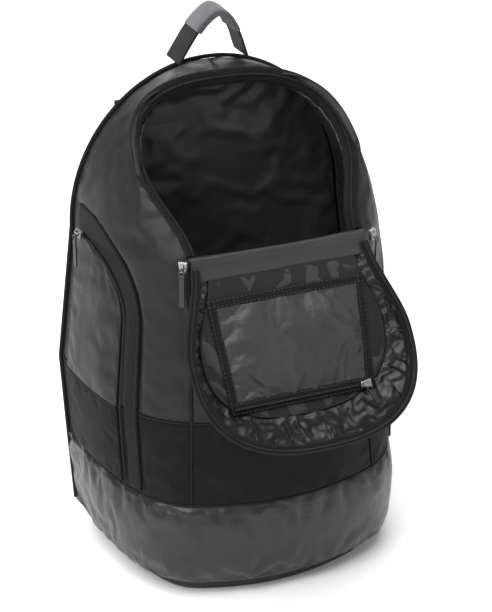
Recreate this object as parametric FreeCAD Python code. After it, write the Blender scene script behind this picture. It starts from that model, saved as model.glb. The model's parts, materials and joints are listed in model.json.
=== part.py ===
import FreeCAD, Part
import math
import os
from FreeCAD import Vector

# Racket backpack, millimetres, Z up, front of the bag towards -Y.
# The origin is on the floor, under the middle of the base.
# The bag stands with its racket compartment open and the flap hanging forward.

# ---- driving dimensions ------------------------------------------------------
BACK_Y = 76.0            # plane where the side walls meet the back panel
WALL = 3.0               # coated fabric with its foam
SKIN = 0.8               # lining cloth
SEAM = 0.2               # clearance between neighbouring sewn pieces

BASE_TOP = 20.0
BAND_SEAM_Z = 110.0      # bottom band to middle band
SIDE_SEAM_Z = 195.0      # middle band to coated upper panels
HINGE_Z = 361.0          # fold line of the front flap
ARCH_SPRING_Z = 336.0
ARCH_TOP_Z = 490.0
ARCH_HALF_WIDTH = 144.0

# (height, value) at the heights where the plan changes
HALF_WIDTH = [(BASE_TOP, 153.0), (BAND_SEAM_Z, 158.0), (SIDE_SEAM_Z, 162.0), (ARCH_SPRING_Z, 144.0)]
SEAM_X = [(BASE_TOP, 97.0), (BAND_SEAM_Z, 97.0), (SIDE_SEAM_Z, 92.0), (HINGE_Z, 87.0)]
SEAM_Y = [(BASE_TOP, -113.0), (BAND_SEAM_Z, -115.0), (SIDE_SEAM_Z, -106.0), (HINGE_Z, -93.0)]
FRONT_CROWN = [(BASE_TOP, 21.0), (BAND_SEAM_Z, 22.0), (SIDE_SEAM_Z, 19.0), (HINGE_Z, 4.0)]
CORNER = 0.62            # how square the front corners are, 0.55 being an ellipse
SEAM_SLOPE = 0.5         # slope of the wall where it meets the front panel

# opening rim of the racket compartment, and the flap that closes it
PIVOT_Y = -97.5          # flap hinge line
RIM_START_Y = -93.0
RIM_TOP_Y = 49.0
RIM_TOP_Z = 486.5
RIM_START_HALF = 88.0
RIM_HALF = 111.0
RIM_POWER = 2.55         # roundness of the rim's top
RIM_BULGE = 4.0          # how far the rim bows above its chord
FLAP_OPEN_DEG = 231.5    # direction of the flap's chord, from +Y through +Z
FLAP_FLOOR_DEG = 13.0    # angle between the flap's panel and its chord
FLAP_FLOOR_LENGTH = 153.0
FLAP_FLOOR_HALF = 93.0
FLAP_START = 14.0        # unhinged cloth between the pivot and the flap panel
FLAP_PANEL = 2.5
FLAP_WALL_T = 2.2
FLAP_LIFT = 2.0          # flap edge above the bag's rim when it is closed

TEETH_R = 1.2            # zip chain, half its width
RIM_TEETH = (-0.6, 4.9)  # lift and inset of the bag's chain from the rim
RIM_TAPE = (-9.0, -2.0, 4.4, 5.4)
FLAP_TEETH = (-0.5, 3.2)
FLAP_TAPE = (-0.9, -0.1, 8.0, 4.7)
SLIDER = (9.0, 11.0, 4.0)
SLIDER_EYE = 2.9         # top of a hanging puller above its slider

SIDES = (("left", -1.0), ("right", 1.0))
X_DIR = Vector(1.0, 0.0, 0.0)


# ---- small helpers -----------------------------------------------------------
def at_height(levels, z):
    """Value at height z in a short list of (height, value)."""
    if z <= levels[0][0]:
        return levels[0][1]
    for (z0, v0), (z1, v1) in zip(levels, levels[1:]):
        if z <= z1:
            return v0 + (v1 - v0) * (z - z0) / (z1 - z0)
    return levels[-1][1]


def steps(start, end, count):
    return [start + (end - start) * i / (count - 1) for i in range(count)]


def spline(points):
    curve = Part.BSplineCurve()
    curve.interpolate(points)
    return curve.toShape()


def line(a, b):
    return Part.makeLine(a, b)


def normals(points, out):
    """In-plane normals of a flat curve, on the side that out points to at the middle."""
    plane = None
    result = []
    for i in range(len(points)):
        ahead = points[min(i + 1, len(points) - 1)]
        behind = points[max(i - 1, 0)]
        tangent = (ahead - behind).normalize()
        if plane is None:
            plane = plane_normal(points, out)
        result.append(tangent.cross(plane).normalize())
    middle = result[len(result) // 2]
    if middle.dot(out) < 0:
        result = [n * -1.0 for n in result]
    return result


def plane_normal(points, out):
    first, last = points[0], points[-1]
    middle = points[len(points) // 2]
    normal = (middle - first).cross(last - first)
    if normal.Length < 1e-3:
        normal = (last - first).cross(out)
    return normal.normalize()


def skin_wire(points, outer, inner, out):
    """Closed wire between two offsets of a flat curve, both measured along out."""
    direction = normals(points, out)
    a = [p + n * outer for p, n in zip(points, direction)]
    b = [p + n * inner for p, n in zip(points, direction)]
    return Part.Wire([spline(a), line(a[-1], b[-1]), spline(b[::-1]), line(b[0], a[0])])


def loft(wires, ruled=False):
    return Part.makeLoft(wires, True, ruled)


def box(x0, x1, y0, y1, z0, z1):
    return Part.makeBox(x1 - x0, y1 - y0, z1 - z0, Vector(x0, y0, z0))


def rounded(shape, radius, keep=None):
    """Fillet the edges that keep chooses, or every edge."""
    edges = [e for e in shape.Edges if keep is None or keep(e)]
    return shape.makeFillet(radius, edges)


def write(name, shape):
    """One STEP file for each node."""
    if not shape.isValid():
        print("NOT VALID", name)
    print(name, len(shape.Solids), round(shape.Volume / 1000.0, 2), "cm3")
    shape.exportStep("parts/" + name + ".step")


# ---- the bag's outer surface -------------------------------------------------
def outward(curve, t, side):
    """Direction out of an arched outline, in its own plane, at station t of one side."""
    small = 0.004
    if t > 1.0 - small:
        return (curve(1.0, 1.0) - curve(0.0, 1.0)).normalize().cross(X_DIR).cross(X_DIR) * -1.0
    tangent = (curve(t + small, side) - curve(max(t - small, 0.0), side)).normalize()
    middle = (curve(1.0, 1.0) + curve(0.0, 1.0) + curve(0.0, -1.0)) * (1.0 / 3.0)
    plane = X_DIR.cross(curve(1.0, 1.0) - curve(0.0, 1.0)).normalize()
    out = tangent.cross(plane).normalize()
    if out.dot(curve(t, side) - middle) < 0.0:
        out = out * -1.0
    return out


def rim_offset(t, side, lift, inset):
    """Point lifted off the rim and moved towards the inside of the opening."""
    def plain(station, which):
        return rim_point(station, which, lift)

    return plain(t, side) - outward(plain, t, side) * inset


def rim_point(t, side=1.0, lift=0.0):
    """The rim from one end of the hinge (t = 0) to the top centre (t = 1)."""
    along = t
    if t < 0.5:
        s = t / 0.5
        half = RIM_START_HALF + (RIM_HALF - RIM_START_HALF) * s * s * (3.0 - 2.0 * s)
    else:
        turn = (t - 0.5) / 0.5 * math.pi / 2.0
        half = RIM_HALF * max(math.cos(turn), 0.0) ** (2.0 / RIM_POWER)
        along = 0.5 + 0.5 * math.sin(turn) ** (2.0 / RIM_POWER)
    dy, dz = RIM_TOP_Y - RIM_START_Y, RIM_TOP_Z - HINGE_Z
    length = math.hypot(dy, dz)
    up = RIM_BULGE * 4.0 * along * (1.0 - along) + lift
    y = RIM_START_Y + dy * along - dz / length * up
    z = HINGE_Z + dz * along + dy / length * up
    return Vector(side * half, y, z)


def back_edge(length):
    """Point on the back edge, at a length up from the side seam."""
    straight = ARCH_SPRING_Z - SIDE_SEAM_Z
    if length <= straight:
        z = SIDE_SEAM_Z + length
        return Vector(at_height(HALF_WIDTH, z), BACK_Y, z)
    rise = ARCH_TOP_Z - ARCH_SPRING_Z
    share = (length - straight) / arch_length()
    turn = min(share, 1.0) * math.pi / 2.0
    return Vector(ARCH_HALF_WIDTH * math.cos(turn), BACK_Y, ARCH_SPRING_Z + rise * math.sin(turn))


def arch_length():
    rise = ARCH_TOP_Z - ARCH_SPRING_Z
    return math.pi / 2.0 * math.sqrt((rise ** 2 + ARCH_HALF_WIDTH ** 2) / 2.0)


def half_width(z):
    """Half-width of the back edge at height z, the arch included."""
    if z <= ARCH_SPRING_Z:
        return at_height(HALF_WIDTH, z)
    share = (z - ARCH_SPRING_Z) / (ARCH_TOP_Z - ARCH_SPRING_Z)
    return ARCH_HALF_WIDTH * math.sqrt(1.0 - share * share)


def seam_point(z):
    return Vector(at_height(SEAM_X, z), at_height(SEAM_Y, z), z)


def wall_curve(rear, front, first=0.0, last=1.0, count=9):
    """Flat curve of the side wall, from the back edge to the front seam."""
    across = Vector(rear.x - front.x, 0.0, rear.z - front.z)
    depth = rear.y - front.y
    rise = min(SEAM_SLOPE * CORNER * across.Length, 0.5 * depth)
    a = rear + Vector(0.0, -CORNER * depth, 0.0)
    b = front + across * CORNER + Vector(0.0, rise, 0.0)
    points = []
    for q in steps(first, last, count):
        p = 1.0 - q
        points.append(rear * p ** 3 + a * (3.0 * q * p * p) + b * (3.0 * q * q * p) + front * q ** 3)
    return points


def mirrored(points, side):
    return [Vector(p.x * side, p.y, p.z) for p in points]


def plan_curve(z, first=-1.0, last=1.0, count=9):
    """Plan of the bag at height z, from the left back edge round the front to the right."""
    seam = seam_point(z)
    rear = Vector(at_height(HALF_WIDTH, z), BACK_Y, z)
    wall = wall_curve(rear, seam, 0.0, 1.0, count)
    crown = at_height(FRONT_CROWN, z)
    front = []
    for x in steps(-seam.x, seam.x, count)[1:-1]:
        front.append(Vector(x, seam.y - crown * (1.0 - (x / seam.x) ** 2), z))
    return mirrored(wall, -1.0) + front + wall[::-1]


FRONT = Vector(0.0, -1.0, 0.0)


def plan_band(heights, outer, inner):
    wires = []
    for z in heights:
        wires.append(skin_wire(plan_curve(z), outer, inner, FRONT))
    return loft(wires)


def front_panel(heights, outer, inner, trim):
    wires = []
    for z in heights:
        seam = seam_point(z)
        crown = at_height(FRONT_CROWN, z)
        points = []
        for x in steps(-seam.x + trim, seam.x - trim, 9):
            points.append(Vector(x, seam.y - crown * (1.0 - (x / seam.x) ** 2), z))
        wires.append(skin_wire(points, outer, inner, FRONT))
    return loft(wires)


def side_band(side, heights, outer, inner, first=0.0, last=1.0):
    """Part of the side wall at level heights; first and last may be numbers or functions of z."""
    out = Vector(side, -0.3, 0.0)
    wires = []
    for z in heights:
        rear = Vector(half_width(z), BACK_Y, z)
        start = first(z) if callable(first) else first
        end = last(z) if callable(last) else last
        points = mirrored(wall_curve(rear, seam_point(z), start, end), side)
        wires.append(skin_wire(points, outer, inner, out))
    return loft(wires)


RIM_LENGTH = 273.0       # from one hinge end to the top centre, along the rim
PANEL_SPLIT = (HINGE_Z - SIDE_SEAM_Z) / (HINGE_Z - SIDE_SEAM_Z + RIM_LENGTH)


def panel_edges(p):
    """Back-edge and front-edge points of an upper side panel, for p from 0 to 1."""
    rear = back_edge(p * (ARCH_SPRING_Z - SIDE_SEAM_Z + arch_length()))
    if p <= PANEL_SPLIT:
        return rear, seam_point(SIDE_SEAM_Z + (HINGE_Z - SIDE_SEAM_Z) * p / PANEL_SPLIT)
    return rear, rim_point((p - PANEL_SPLIT) / (1.0 - PANEL_SPLIT))


def upper_side_panel(side, outer, inner, first=0.0, last=1.0, end=0.999):
    """Coated panel from the side seam up over the shoulder to the top centre."""
    wires = []
    for p in steps(0.004, end, 22):
        rear, front = panel_edges(p)
        across = Vector(rear.x - front.x, 0.0, rear.z - front.z).normalize()
        out = Vector(across.x * side, -0.3, across.z)
        points = mirrored(wall_curve(rear, front, first, last), side)
        wires.append(skin_wire(points, outer, inner, out))
    return loft(wires)


# ---- fixed body of the bag ---------------------------------------------------
def back_outline(inset, y):
    """Closed outline of the arched back, as a face in a plane of constant y."""
    bottom = BASE_TOP + inset
    knee = SIDE_SEAM_Z
    half_bottom = at_height(HALF_WIDTH, bottom) - inset
    half_knee = at_height(HALF_WIDTH, knee) - inset
    half_spring = ARCH_HALF_WIDTH - inset
    rise = ARCH_TOP_Z - ARCH_SPRING_Z - inset
    arch = []
    for turn in steps(0.0, math.pi, 21):
        arch.append(Vector(half_spring * math.cos(turn), y, ARCH_SPRING_Z + rise * math.sin(turn)))
    right = Vector(half_bottom, y, bottom)
    left = Vector(-half_bottom, y, bottom)
    right_knee = Vector(half_knee, y, knee)
    left_knee = Vector(-half_knee, y, knee)
    edges = [
        line(left, right),
        line(right, right_knee),
        line(right_knee, arch[0]),
        spline(arch),
        line(arch[-1], left_knee),
        line(left_knee, left),
    ]
    return Part.Face(Part.Wire(edges))


def back_sheet(inset, y0, y1):
    return back_outline(inset, y0).extrude(Vector(0.0, y1 - y0, 0.0))


PIPING_R = 2.2
BASE_INSET = 17.0
BASE_PROFILE = ((0.0, 3.0), (4.0, 0.5), (BASE_TOP - 1.0, 0.0))
BOARD = 2.5


def floor_wire(z, inset, back):
    """Closed plan at height z, inside the bottom band by inset and cut off at the back."""
    outer = plan_curve(BASE_TOP)
    points = []
    for p, n in zip(outer, normals(outer, FRONT)):
        inner = p - n * inset
        if inner.y < back - 10.0:
            points.append(Vector(inner.x, inner.y, z))
    half = half_width(BASE_TOP) - inset
    points = [Vector(-half, back, z)] + points + [Vector(half, back, z)]
    return Part.Wire([spline(points), line(points[-1], points[0])])


def base_tub():
    """Inset base that the bag stands on."""
    back = BACK_Y - 8.0
    wires = [floor_wire(z, BASE_INSET + taper, back) for z, taper in BASE_PROFILE]
    return loft(wires, True)


def base_board():
    face = Part.Face(floor_wire(BASE_TOP + SEAM, WALL + 2.0, BACK_Y - 6.0))
    return face.extrude(Vector(0.0, 0.0, BOARD))


def round_rim(first, count):
    """Stations (t, side) from the left end of the rim over the top to the right end."""
    ts = steps(first, 1.0, count)
    return [(t, -1.0) for t in ts] + [(t, 1.0) for t in ts[-2::-1]]


def rim_sweep(lift0, lift1, inset0, inset1, count=25):
    """Ribbon along the whole rim, between two offsets from it."""
    path = round_rim(0.012, count)
    wires = []
    for t, side in path:
        corners = [
            rim_offset(t, side, lift0, inset0),
            rim_offset(t, side, lift0, inset1),
            rim_offset(t, side, lift1, inset1),
            rim_offset(t, side, lift1, inset0),
        ]
        wires.append(Part.makePolygon(corners + corners[:1]))
    return loft(wires, True)


def tube_along(points, radius, sides=8):
    """Slim cord of piping or zip teeth through the points, with a many-sided section."""
    wires = []
    last = len(points) - 1
    across = Vector(0.0, 1.0, 0.0)
    for i, centre in enumerate(points):
        tangent = (points[min(i + 1, last)] - points[max(i - 1, 0)]).normalize()
        u = (across - tangent * across.dot(tangent)).normalize()
        v = tangent.cross(u)
        ring = []
        for k in range(sides):
            turn = 2.0 * math.pi * k / sides
            ring.append(centre + u * (radius * math.cos(turn)) + v * (radius * math.sin(turn)))
        wires.append(Part.makePolygon(ring + ring[:1]))
    return loft(wires, True)


def back_piping():
    """Welt round the back edge, just outside the side panels."""
    radius = PIPING_R
    full = ARCH_SPRING_Z - SIDE_SEAM_Z + arch_length()
    half = [Vector(at_height(HALF_WIDTH, BASE_TOP + 4.0), 0.0, BASE_TOP + 4.0)]
    half.append(Vector(at_height(HALF_WIDTH, BAND_SEAM_Z), 0.0, BAND_SEAM_Z))
    for length in steps(0.0, full, 15):
        half.append(back_edge(length))
    path = [Vector(p.x + radius + SEAM, BACK_Y + radius, p.z) for p in half[:-1]]
    crest = Vector(0.0, BACK_Y + radius, ARCH_TOP_Z + radius + SEAM)
    left = [Vector(-p.x, p.y, p.z + lift_at(p)) for p in path]
    right = [Vector(p.x, p.y, p.z + lift_at(p)) for p in path]
    return tube_along(left + [crest] + right[::-1], radius)


def lift_at(point):
    """Moves the welt up as the arch turns over, so that it stays outside."""
    share = max(point.z - ARCH_SPRING_Z, 0.0) / (ARCH_TOP_Z - ARCH_SPRING_Z)
    return 2.4 * share


# ---- back panel, pads and straps ----------------------------------------------
PAD_T = 9.0
PANEL_T = 2.6
PAD_Y = BACK_Y + PANEL_T + 0.4 + SEAM
STRAP_X = 52.0
STRAP_TOP_Z = 452.0
STRAP_END_Z = 168.0
STRAP_W = 62.0
STRAP_T = 12.0
WING_Z = 46.0


def back_pad(side):
    pad = box(12.0, 118.0, PAD_Y, PAD_Y + PAD_T, 190.0, 400.0)
    pad = rounded(pad, 22.0, lambda e: abs(e.Length - PAD_T) < 0.01)
    pad = rounded(pad, 4.0, lambda e: e.BoundBox.YMin > PAD_Y + PAD_T - 0.01)
    return pad if side > 0 else pad.mirror(Vector(), Vector(1.0, 0.0, 0.0))


def lumbar_pad():
    pad = box(-104.0, 104.0, PAD_Y, PAD_Y + PAD_T, 96.0, 178.0)
    pad = rounded(pad, 22.0, lambda e: abs(e.Length - PAD_T) < 0.01)
    return rounded(pad, 4.0, lambda e: e.BoundBox.YMin > PAD_Y + PAD_T - 0.01)


def strap_yoke():
    """Reinforced strip across the top of the back, where the straps are sewn in."""
    yoke = box(-96.0, 96.0, PAD_Y, PAD_Y + 4.0, 424.0, 458.0)
    return rounded(yoke, 10.0, lambda e: abs(e.Length - 4.0) < 0.01)


def strap_path(t):
    """Centre of a shoulder strap's inner face from its top (t = 0) to its end (t = 1)."""
    x = STRAP_X + 46.0 * math.sin(math.pi * min(t * 1.05, 1.0)) * 0.62 + 16.0 * t
    y = PAD_Y + 4.5 + 8.5 * t + 22.0 * max(math.sin(math.pi * t), 0.0) ** 0.7
    z = STRAP_TOP_Z + (STRAP_END_Z - STRAP_TOP_Z) * t
    return Vector(x, y, z)


def shoulder_strap(side):
    wires = []
    for t in steps(0.0, 1.0, 12):
        c = strap_path(t)
        half = STRAP_W / 2.0 * (1.0 - 0.35 * t)
        thick = STRAP_T * (1.0 - 0.45 * t)
        corners = [
            Vector(side * (c.x - half), c.y, c.z),
            Vector(side * (c.x + half), c.y, c.z),
            Vector(side * (c.x + half - 2.0), c.y + thick, c.z),
            Vector(side * (c.x - half + 2.0), c.y + thick, c.z),
        ]
        wires.append(Part.makePolygon(corners + corners[:1]))
    return loft(wires)


def ladder_lock(side):
    """Adjuster buckle at the strap's end: a frame with two slots."""
    c = strap_path(1.0)
    frame = box(c.x - 17.0, c.x + 17.0, c.y, c.y + 4.0, c.z - 26.5, c.z - 0.5)
    for z in (c.z - 10.0, c.z - 21.0):
        frame = frame.cut(box(c.x - 13.0, c.x + 13.0, c.y - 1.0, c.y + 5.0, z, z + 4.0))
    return frame if side > 0 else frame.mirror(Vector(), Vector(1.0, 0.0, 0.0))


WEBBING_W = 25.0
WEBBING_T = 1.6


def lower_webbing(side):
    """Flat webbing from the adjuster down to the wing at the bottom corner."""
    start = strap_path(1.0)
    wires = []
    for t in steps(0.0, 1.0, 7):
        x = start.x + (120.0 - start.x) * t
        y = start.y + (PAD_Y + 3.0 - start.y) * t + 5.0 * math.sin(math.pi * t)
        z = start.z - 27.5 + (WING_Z + 12.0 - start.z + 27.5) * t
        corners = [
            Vector(side * (x - WEBBING_W / 2.0), y, z),
            Vector(side * (x + WEBBING_W / 2.0), y, z),
            Vector(side * (x + WEBBING_W / 2.0), y + WEBBING_T, z),
            Vector(side * (x - WEBBING_W / 2.0), y + WEBBING_T, z),
        ]
        wires.append(Part.makePolygon(corners + corners[:1]))
    return loft(wires)


def strap_wing(side):
    """Triangle of cloth that ties the webbing into the bag's lower corner."""
    corners = [
        Vector(104.0, PAD_Y, WING_Z + 11.0),
        Vector(136.0, PAD_Y, WING_Z + 11.0),
        Vector(148.0, PAD_Y, WING_Z - 16.0),
        Vector(100.0, PAD_Y, WING_Z - 16.0),
    ]
    wing = Part.Face(Part.makePolygon(corners + corners[:1])).extrude(Vector(0.0, 2.4, 0.0))
    return wing if side > 0 else wing.mirror(Vector(), Vector(1.0, 0.0, 0.0))


# ---- grab handle ---------------------------------------------------------------
HANDLE_HALF = 35.0
HANDLE_BASE_Z = ARCH_TOP_Z + 1.0
HANDLE_TOP_Z = 541.0
HANDLE_LEAN = -9.0
HANDLE_SKEW = 4.0        # crest of the loop off the middle
HANDLE_POINT = 1.7       # 2 is a parabola, less is more pointed
HANDLE_W = 34.0
HANDLE_Y = BACK_Y + 2.0


def handle_path(t):
    """Centre line of the webbing loop from the left foot (t = 0) to the right (t = 1)."""
    x = HANDLE_HALF * (2.0 * t - 1.0) + HANDLE_SKEW * math.sin(math.pi * t)
    rise = 1.0 - abs(2.0 * t - 1.0) ** HANDLE_POINT
    z = HANDLE_BASE_Z + (HANDLE_TOP_Z - HANDLE_BASE_Z) * rise
    return Vector(x, HANDLE_Y + HANDLE_LEAN * rise, z)


def handle_strip(first, last, inner, outer, half_width, count=13):
    wires = []
    for t in steps(first, last, count):
        here = handle_path(t)
        ahead = handle_path(min(t + 0.01, 1.0))
        behind = handle_path(max(t - 0.01, 0.0))
        tangent = (ahead - behind).normalize()
        across = Vector(0.0, 1.0, 0.0)
        out = tangent.cross(across).normalize()
        corners = [
            here + across * half_width + out * inner,
            here + across * half_width + out * outer,
            here - across * half_width + out * outer,
            here - across * half_width + out * inner,
        ]
        wires.append(Part.makePolygon(corners + corners[:1]))
    return loft(wires)


def handle_foot(side):
    """Bartacked patch that ties the webbing to the top seam."""
    x = side * HANDLE_HALF
    z = back_top_z(HANDLE_HALF)
    return box(x - 13.0, x + 13.0, PAD_Y, PAD_Y + 1.8, z - 22.0, z - 3.0)


def back_top_z(x):
    share = x / ARCH_HALF_WIDTH
    return ARCH_SPRING_Z + (ARCH_TOP_Z - ARCH_SPRING_Z) * math.sqrt(1.0 - share * share)


# ---- front flap ----------------------------------------------------------------
def flap_place(x, along, above):
    """Point of the open flap: along its chord from the pivot, and above its lining side."""
    a = math.radians(FLAP_OPEN_DEG)
    y = PIVOT_Y + along * math.cos(a) - above * math.sin(a)
    z = HINGE_Z + along * math.sin(a) + above * math.cos(a)
    return Vector(x, y, z)


def flap_length():
    return math.hypot(RIM_TOP_Y - PIVOT_Y, RIM_TOP_Z - HINGE_Z)


def flap_edge(t, side, lift=0.0, grow=0.0):
    """Point off the flap's zip edge; grow moves it out of the flap's outline."""
    def plain(station, which):
        return flap_rim(station, which, lift)

    return plain(t, side) + outward(plain, t, side) * grow


def flap_rim(t, side, lift):
    """The flap's zip edge, the twin of the bag's rim."""
    rim = rim_point(t)
    closed = math.atan2(RIM_TOP_Z - HINGE_Z, RIM_TOP_Y - PIVOT_Y)
    dy, dz = rim.y - PIVOT_Y, rim.z - HINGE_Z
    along = dy * math.cos(closed) + dz * math.sin(closed)
    above = -dy * math.sin(closed) + dz * math.cos(closed)
    return flap_place(side * rim.x, along, above + FLAP_LIFT + lift)


def floor_height(along):
    return along * math.tan(math.radians(FLAP_FLOOR_DEG)) + FLAP_LIFT


def floor_point(t, side, lift=0.0, inset=0.0):
    """Point off the outline of the flap's panel; inset moves it inwards."""
    def plain(station, which):
        return floor_rim(station, which, lift)

    return plain(t, side) - outward(plain, t, side) * inset


def floor_rim(t, side, lift):
    """Outline of the flap's panel, inside its zip edge."""
    rim = rim_point(t)
    half = rim.x * FLAP_FLOOR_HALF / RIM_HALF
    closed = math.atan2(RIM_TOP_Z - HINGE_Z, RIM_TOP_Y - PIVOT_Y)
    dy, dz = rim.y - PIVOT_Y, rim.z - HINGE_Z
    share = (dy * math.cos(closed) + dz * math.sin(closed)) / flap_length()
    along = FLAP_START + (FLAP_FLOOR_LENGTH - FLAP_START) * max(share, 0.0)
    return flap_place(side * half, along, floor_height(along) + lift)


def flap_outline(lift, inset=0.0, count=17):
    return [floor_point(t, side, lift, inset) for t, side in round_rim(0.05, count)]


def flap_sheet(lift, thick, inset=0.0):
    """Flat sheet with the flap panel's outline."""
    points = flap_outline(lift, inset)
    face = Part.Face(Part.makePolygon(points + points[:1]))
    shift = on_floor(0.0, 0.0, -thick) - on_floor(0.0, 0.0, 0.0)
    return face.extrude(shift)


def flap_wall():
    """Gusset between the flap's panel and its zip edge."""
    wires = []
    for t, side in round_rim(0.06, 19):
        edge = flap_edge(t, side)
        foot = floor_point(t, side, FLAP_PANEL / 2.0, -0.8)
        ahead = flap_edge(min(t + 0.01, 1.0), side) - flap_edge(max(t - 0.01, 0.0), side)
        if t > 0.999:
            ahead = X_DIR
        out = ahead.cross(foot - edge).normalize() * FLAP_WALL_T
        if out.dot(edge - flap_rim(0.5, -side, 0.0)) < 0.0:
            out = out * -1.0
        corners = [edge, foot, foot + out, edge + out]
        wires.append(Part.makePolygon(corners + corners[:1]))
    return loft(wires, True)


def flap_ribbon(lift0, lift1, grow0, grow1):
    """Ribbon along the flap's zip edge."""
    wires = []
    for t, side in round_rim(0.06, 21):
        corners = [
            flap_edge(t, side, lift0, grow0),
            flap_edge(t, side, lift0, grow1),
            flap_edge(t, side, lift1, grow1),
            flap_edge(t, side, lift1, grow0),
        ]
        wires.append(Part.makePolygon(corners + corners[:1]))
    return loft(wires, True)


# the pocket on the flap's lining, in the flap panel's own plane
POCKET_HALF_TOP = 80.0
POCKET_HALF_END = 73.0
POCKET_START = 38.0
POCKET_END = 145.0
POCKET_TAPE = 8.0


def on_floor(x, along, depth):
    """Point over the flap's lining; depth is measured from the panel towards the inside."""
    slope = math.radians(FLAP_FLOOR_DEG)
    u = along * math.cos(slope) + depth * math.sin(slope)
    w = along * math.sin(slope) - depth * math.cos(slope)
    return flap_place(x, u, w + FLAP_LIFT)


def floor_plate(corners, depth0, depth1):
    """Flat plate with (x, along) corners between two depths over the panel."""
    face = Part.Face(Part.makePolygon([on_floor(x, a, depth0) for x, a in corners + corners[:1]]))
    return face.extrude(on_floor(0.0, 0.0, depth1) - on_floor(0.0, 0.0, depth0))


def pocket_half(along):
    share = (along - POCKET_START) / (POCKET_END - POCKET_START)
    return POCKET_HALF_TOP + (POCKET_HALF_END - POCKET_HALF_TOP) * share


def pocket_corners(inset):
    start = POCKET_START + inset
    end = POCKET_END - inset
    a = pocket_half(start) - inset
    b = pocket_half(end) - inset
    return [(-a, start), (a, start), (b, end), (-b, end)]


def pocket_frame(depth0, depth1):
    outer = floor_plate(pocket_corners(0.0), depth0, depth1)
    inner = floor_plate(pocket_corners(POCKET_TAPE), depth0 - 1.0, depth1 + 1.0)
    return outer.cut(inner)


# ---- zip hardware ----------------------------------------------------------------
def oriented(shape, origin, x_dir, y_dir):
    """Put a shape drawn about the origin into a frame given by two directions."""
    x = x_dir.normalize()
    z = x.cross(y_dir).normalize()
    y = z.cross(x)
    matrix = FreeCAD.Matrix(
        x.x, y.x, z.x, origin.x, x.y, y.y, z.y, origin.y, x.z, y.z, z.z, origin.z, 0.0, 0.0, 0.0, 1.0
    )
    return shape.transformGeometry(matrix)


def slider_block():
    """Zip slider: wedge body with a bridge; travel along X, top towards +Z."""
    width, length, height = SLIDER
    points = [(-0.5, -0.30), (0.5, -0.5), (0.5, 0.5), (-0.5, 0.30)]
    corners = [Vector(length * a, width * b, 0.0) for a, b in points]
    body = Part.Face(Part.makePolygon(corners + corners[:1])).extrude(Vector(0.0, 0.0, height))
    body = rounded(body, 0.8)
    bridge = box(-3.6, 3.6, -0.9, 0.9, height - 0.6, height + 2.0)
    window = box(-2.2, 2.2, -2.0, 2.0, height + 0.05, height + 1.3)
    return body.fuse(bridge).cut(window).removeSplitter()


def puller_tab(length):
    """Flat puller with an eye at its top, hanging along -Y, lying in the XY plane."""
    eye = Part.makeCylinder(3.2, 1.2, Vector(0.0, -3.6, 0.0))
    eye = eye.cut(Part.makeCylinder(1.9, 3.0, Vector(0.0, -3.6, -1.0)))
    tab = box(-2.6, 2.6, -length, -6.0, -0.3, 1.5)
    tab = rounded(tab, 0.5)
    return eye.fuse(tab).removeSplitter()


# ---- side pockets ----------------------------------------------------------------
POCKET_BEND_Z = 285.0    # where the zip leaves its straight run and rounds over
ZIP_TOP_Z = 346.0
WELT_TOP_Z = 372.0
ZIP_Q = 0.52             # place of the straight zip round the side, 0 back and 1 front
WELT_Q = 0.63
DOOR_HINGE_Q = 0.07
DOOR_LOW_Z = 116.0
DOOR_OUT = 4.0           # the door's outer face above the side wall
DOOR_T = 2.0


def rounded_over(z, q, top):
    if z <= POCKET_BEND_Z:
        return q
    share = min((z - POCKET_BEND_Z) / (top - POCKET_BEND_Z), 1.0)
    return q * math.sqrt(1.0 - share * share)


def zip_q(z):
    return rounded_over(z, ZIP_Q, ZIP_TOP_Z)


def door_end(z):
    return zip_q(z) - 0.036


def welt_start(z):
    return max(zip_q(z) + 0.022, DOOR_HINGE_Q)


def welt_end(z):
    return max(rounded_over(z, WELT_Q, WELT_TOP_Z), DOOR_HINGE_Q + 0.03)


def door_part(side, low, high):
    heights = steps(low, min(high, 300.0), 6)
    if high > 300.0:
        heights += [308.0, 316.0, 324.0, 331.0, 337.0, 341.0]
    return side_band(side, heights, DOOR_OUT, DOOR_OUT - DOOR_T, DOOR_HINGE_Q, door_end)


def pocket_welt(side):
    """Black band that carries the pocket's zip, sewn on the side wall."""
    heights = steps(DOOR_LOW_Z, 300.0, 8) + [312.0, 322.0, 332.0, 340.0, 346.0, 352.0, 358.0, 364.0, 368.0]
    return side_band(side, heights, 3.4, 1.8, welt_start, welt_end)


def wall_at(z, q, out):
    """Point on the right side wall, and moved out from it."""
    rear = Vector(half_width(z), BACK_Y, z)
    points = wall_curve(rear, seam_point(z), max(q - 0.02, 0.0), q + 0.02, 3)
    direction = normals(points, Vector(1.0, -0.3, 0.0))[1]
    return points[1] + direction * out


def pocket_teeth(side):
    """The zip's chain, between the door's edge and the welt."""
    heights = steps(DOOR_LOW_Z, POCKET_BEND_Z, 8)[:-1] + steps(POCKET_BEND_Z, ZIP_TOP_Z - 4.0, 9)
    path = [wall_at(z, zip_q(z) - 0.004, 4.0) for z in heights]
    return tube_along(mirrored(path, side), TEETH_R)


# ---- write every piece -------------------------------------------------------------
FRONT_TRIM = WALL + 1.0  # front pieces stop beside the thickness of the side walls
FRONT_TOP_Z = HINGE_Z - 4.0
LINING_GAP = 3.5
LINING_TRIM = 12.0
SIDE_LINING_GAP = 0.8
LINING_END = 0.64        # share of the side panel's length that the lining covers
PANEL_INSET = 0.7


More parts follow.
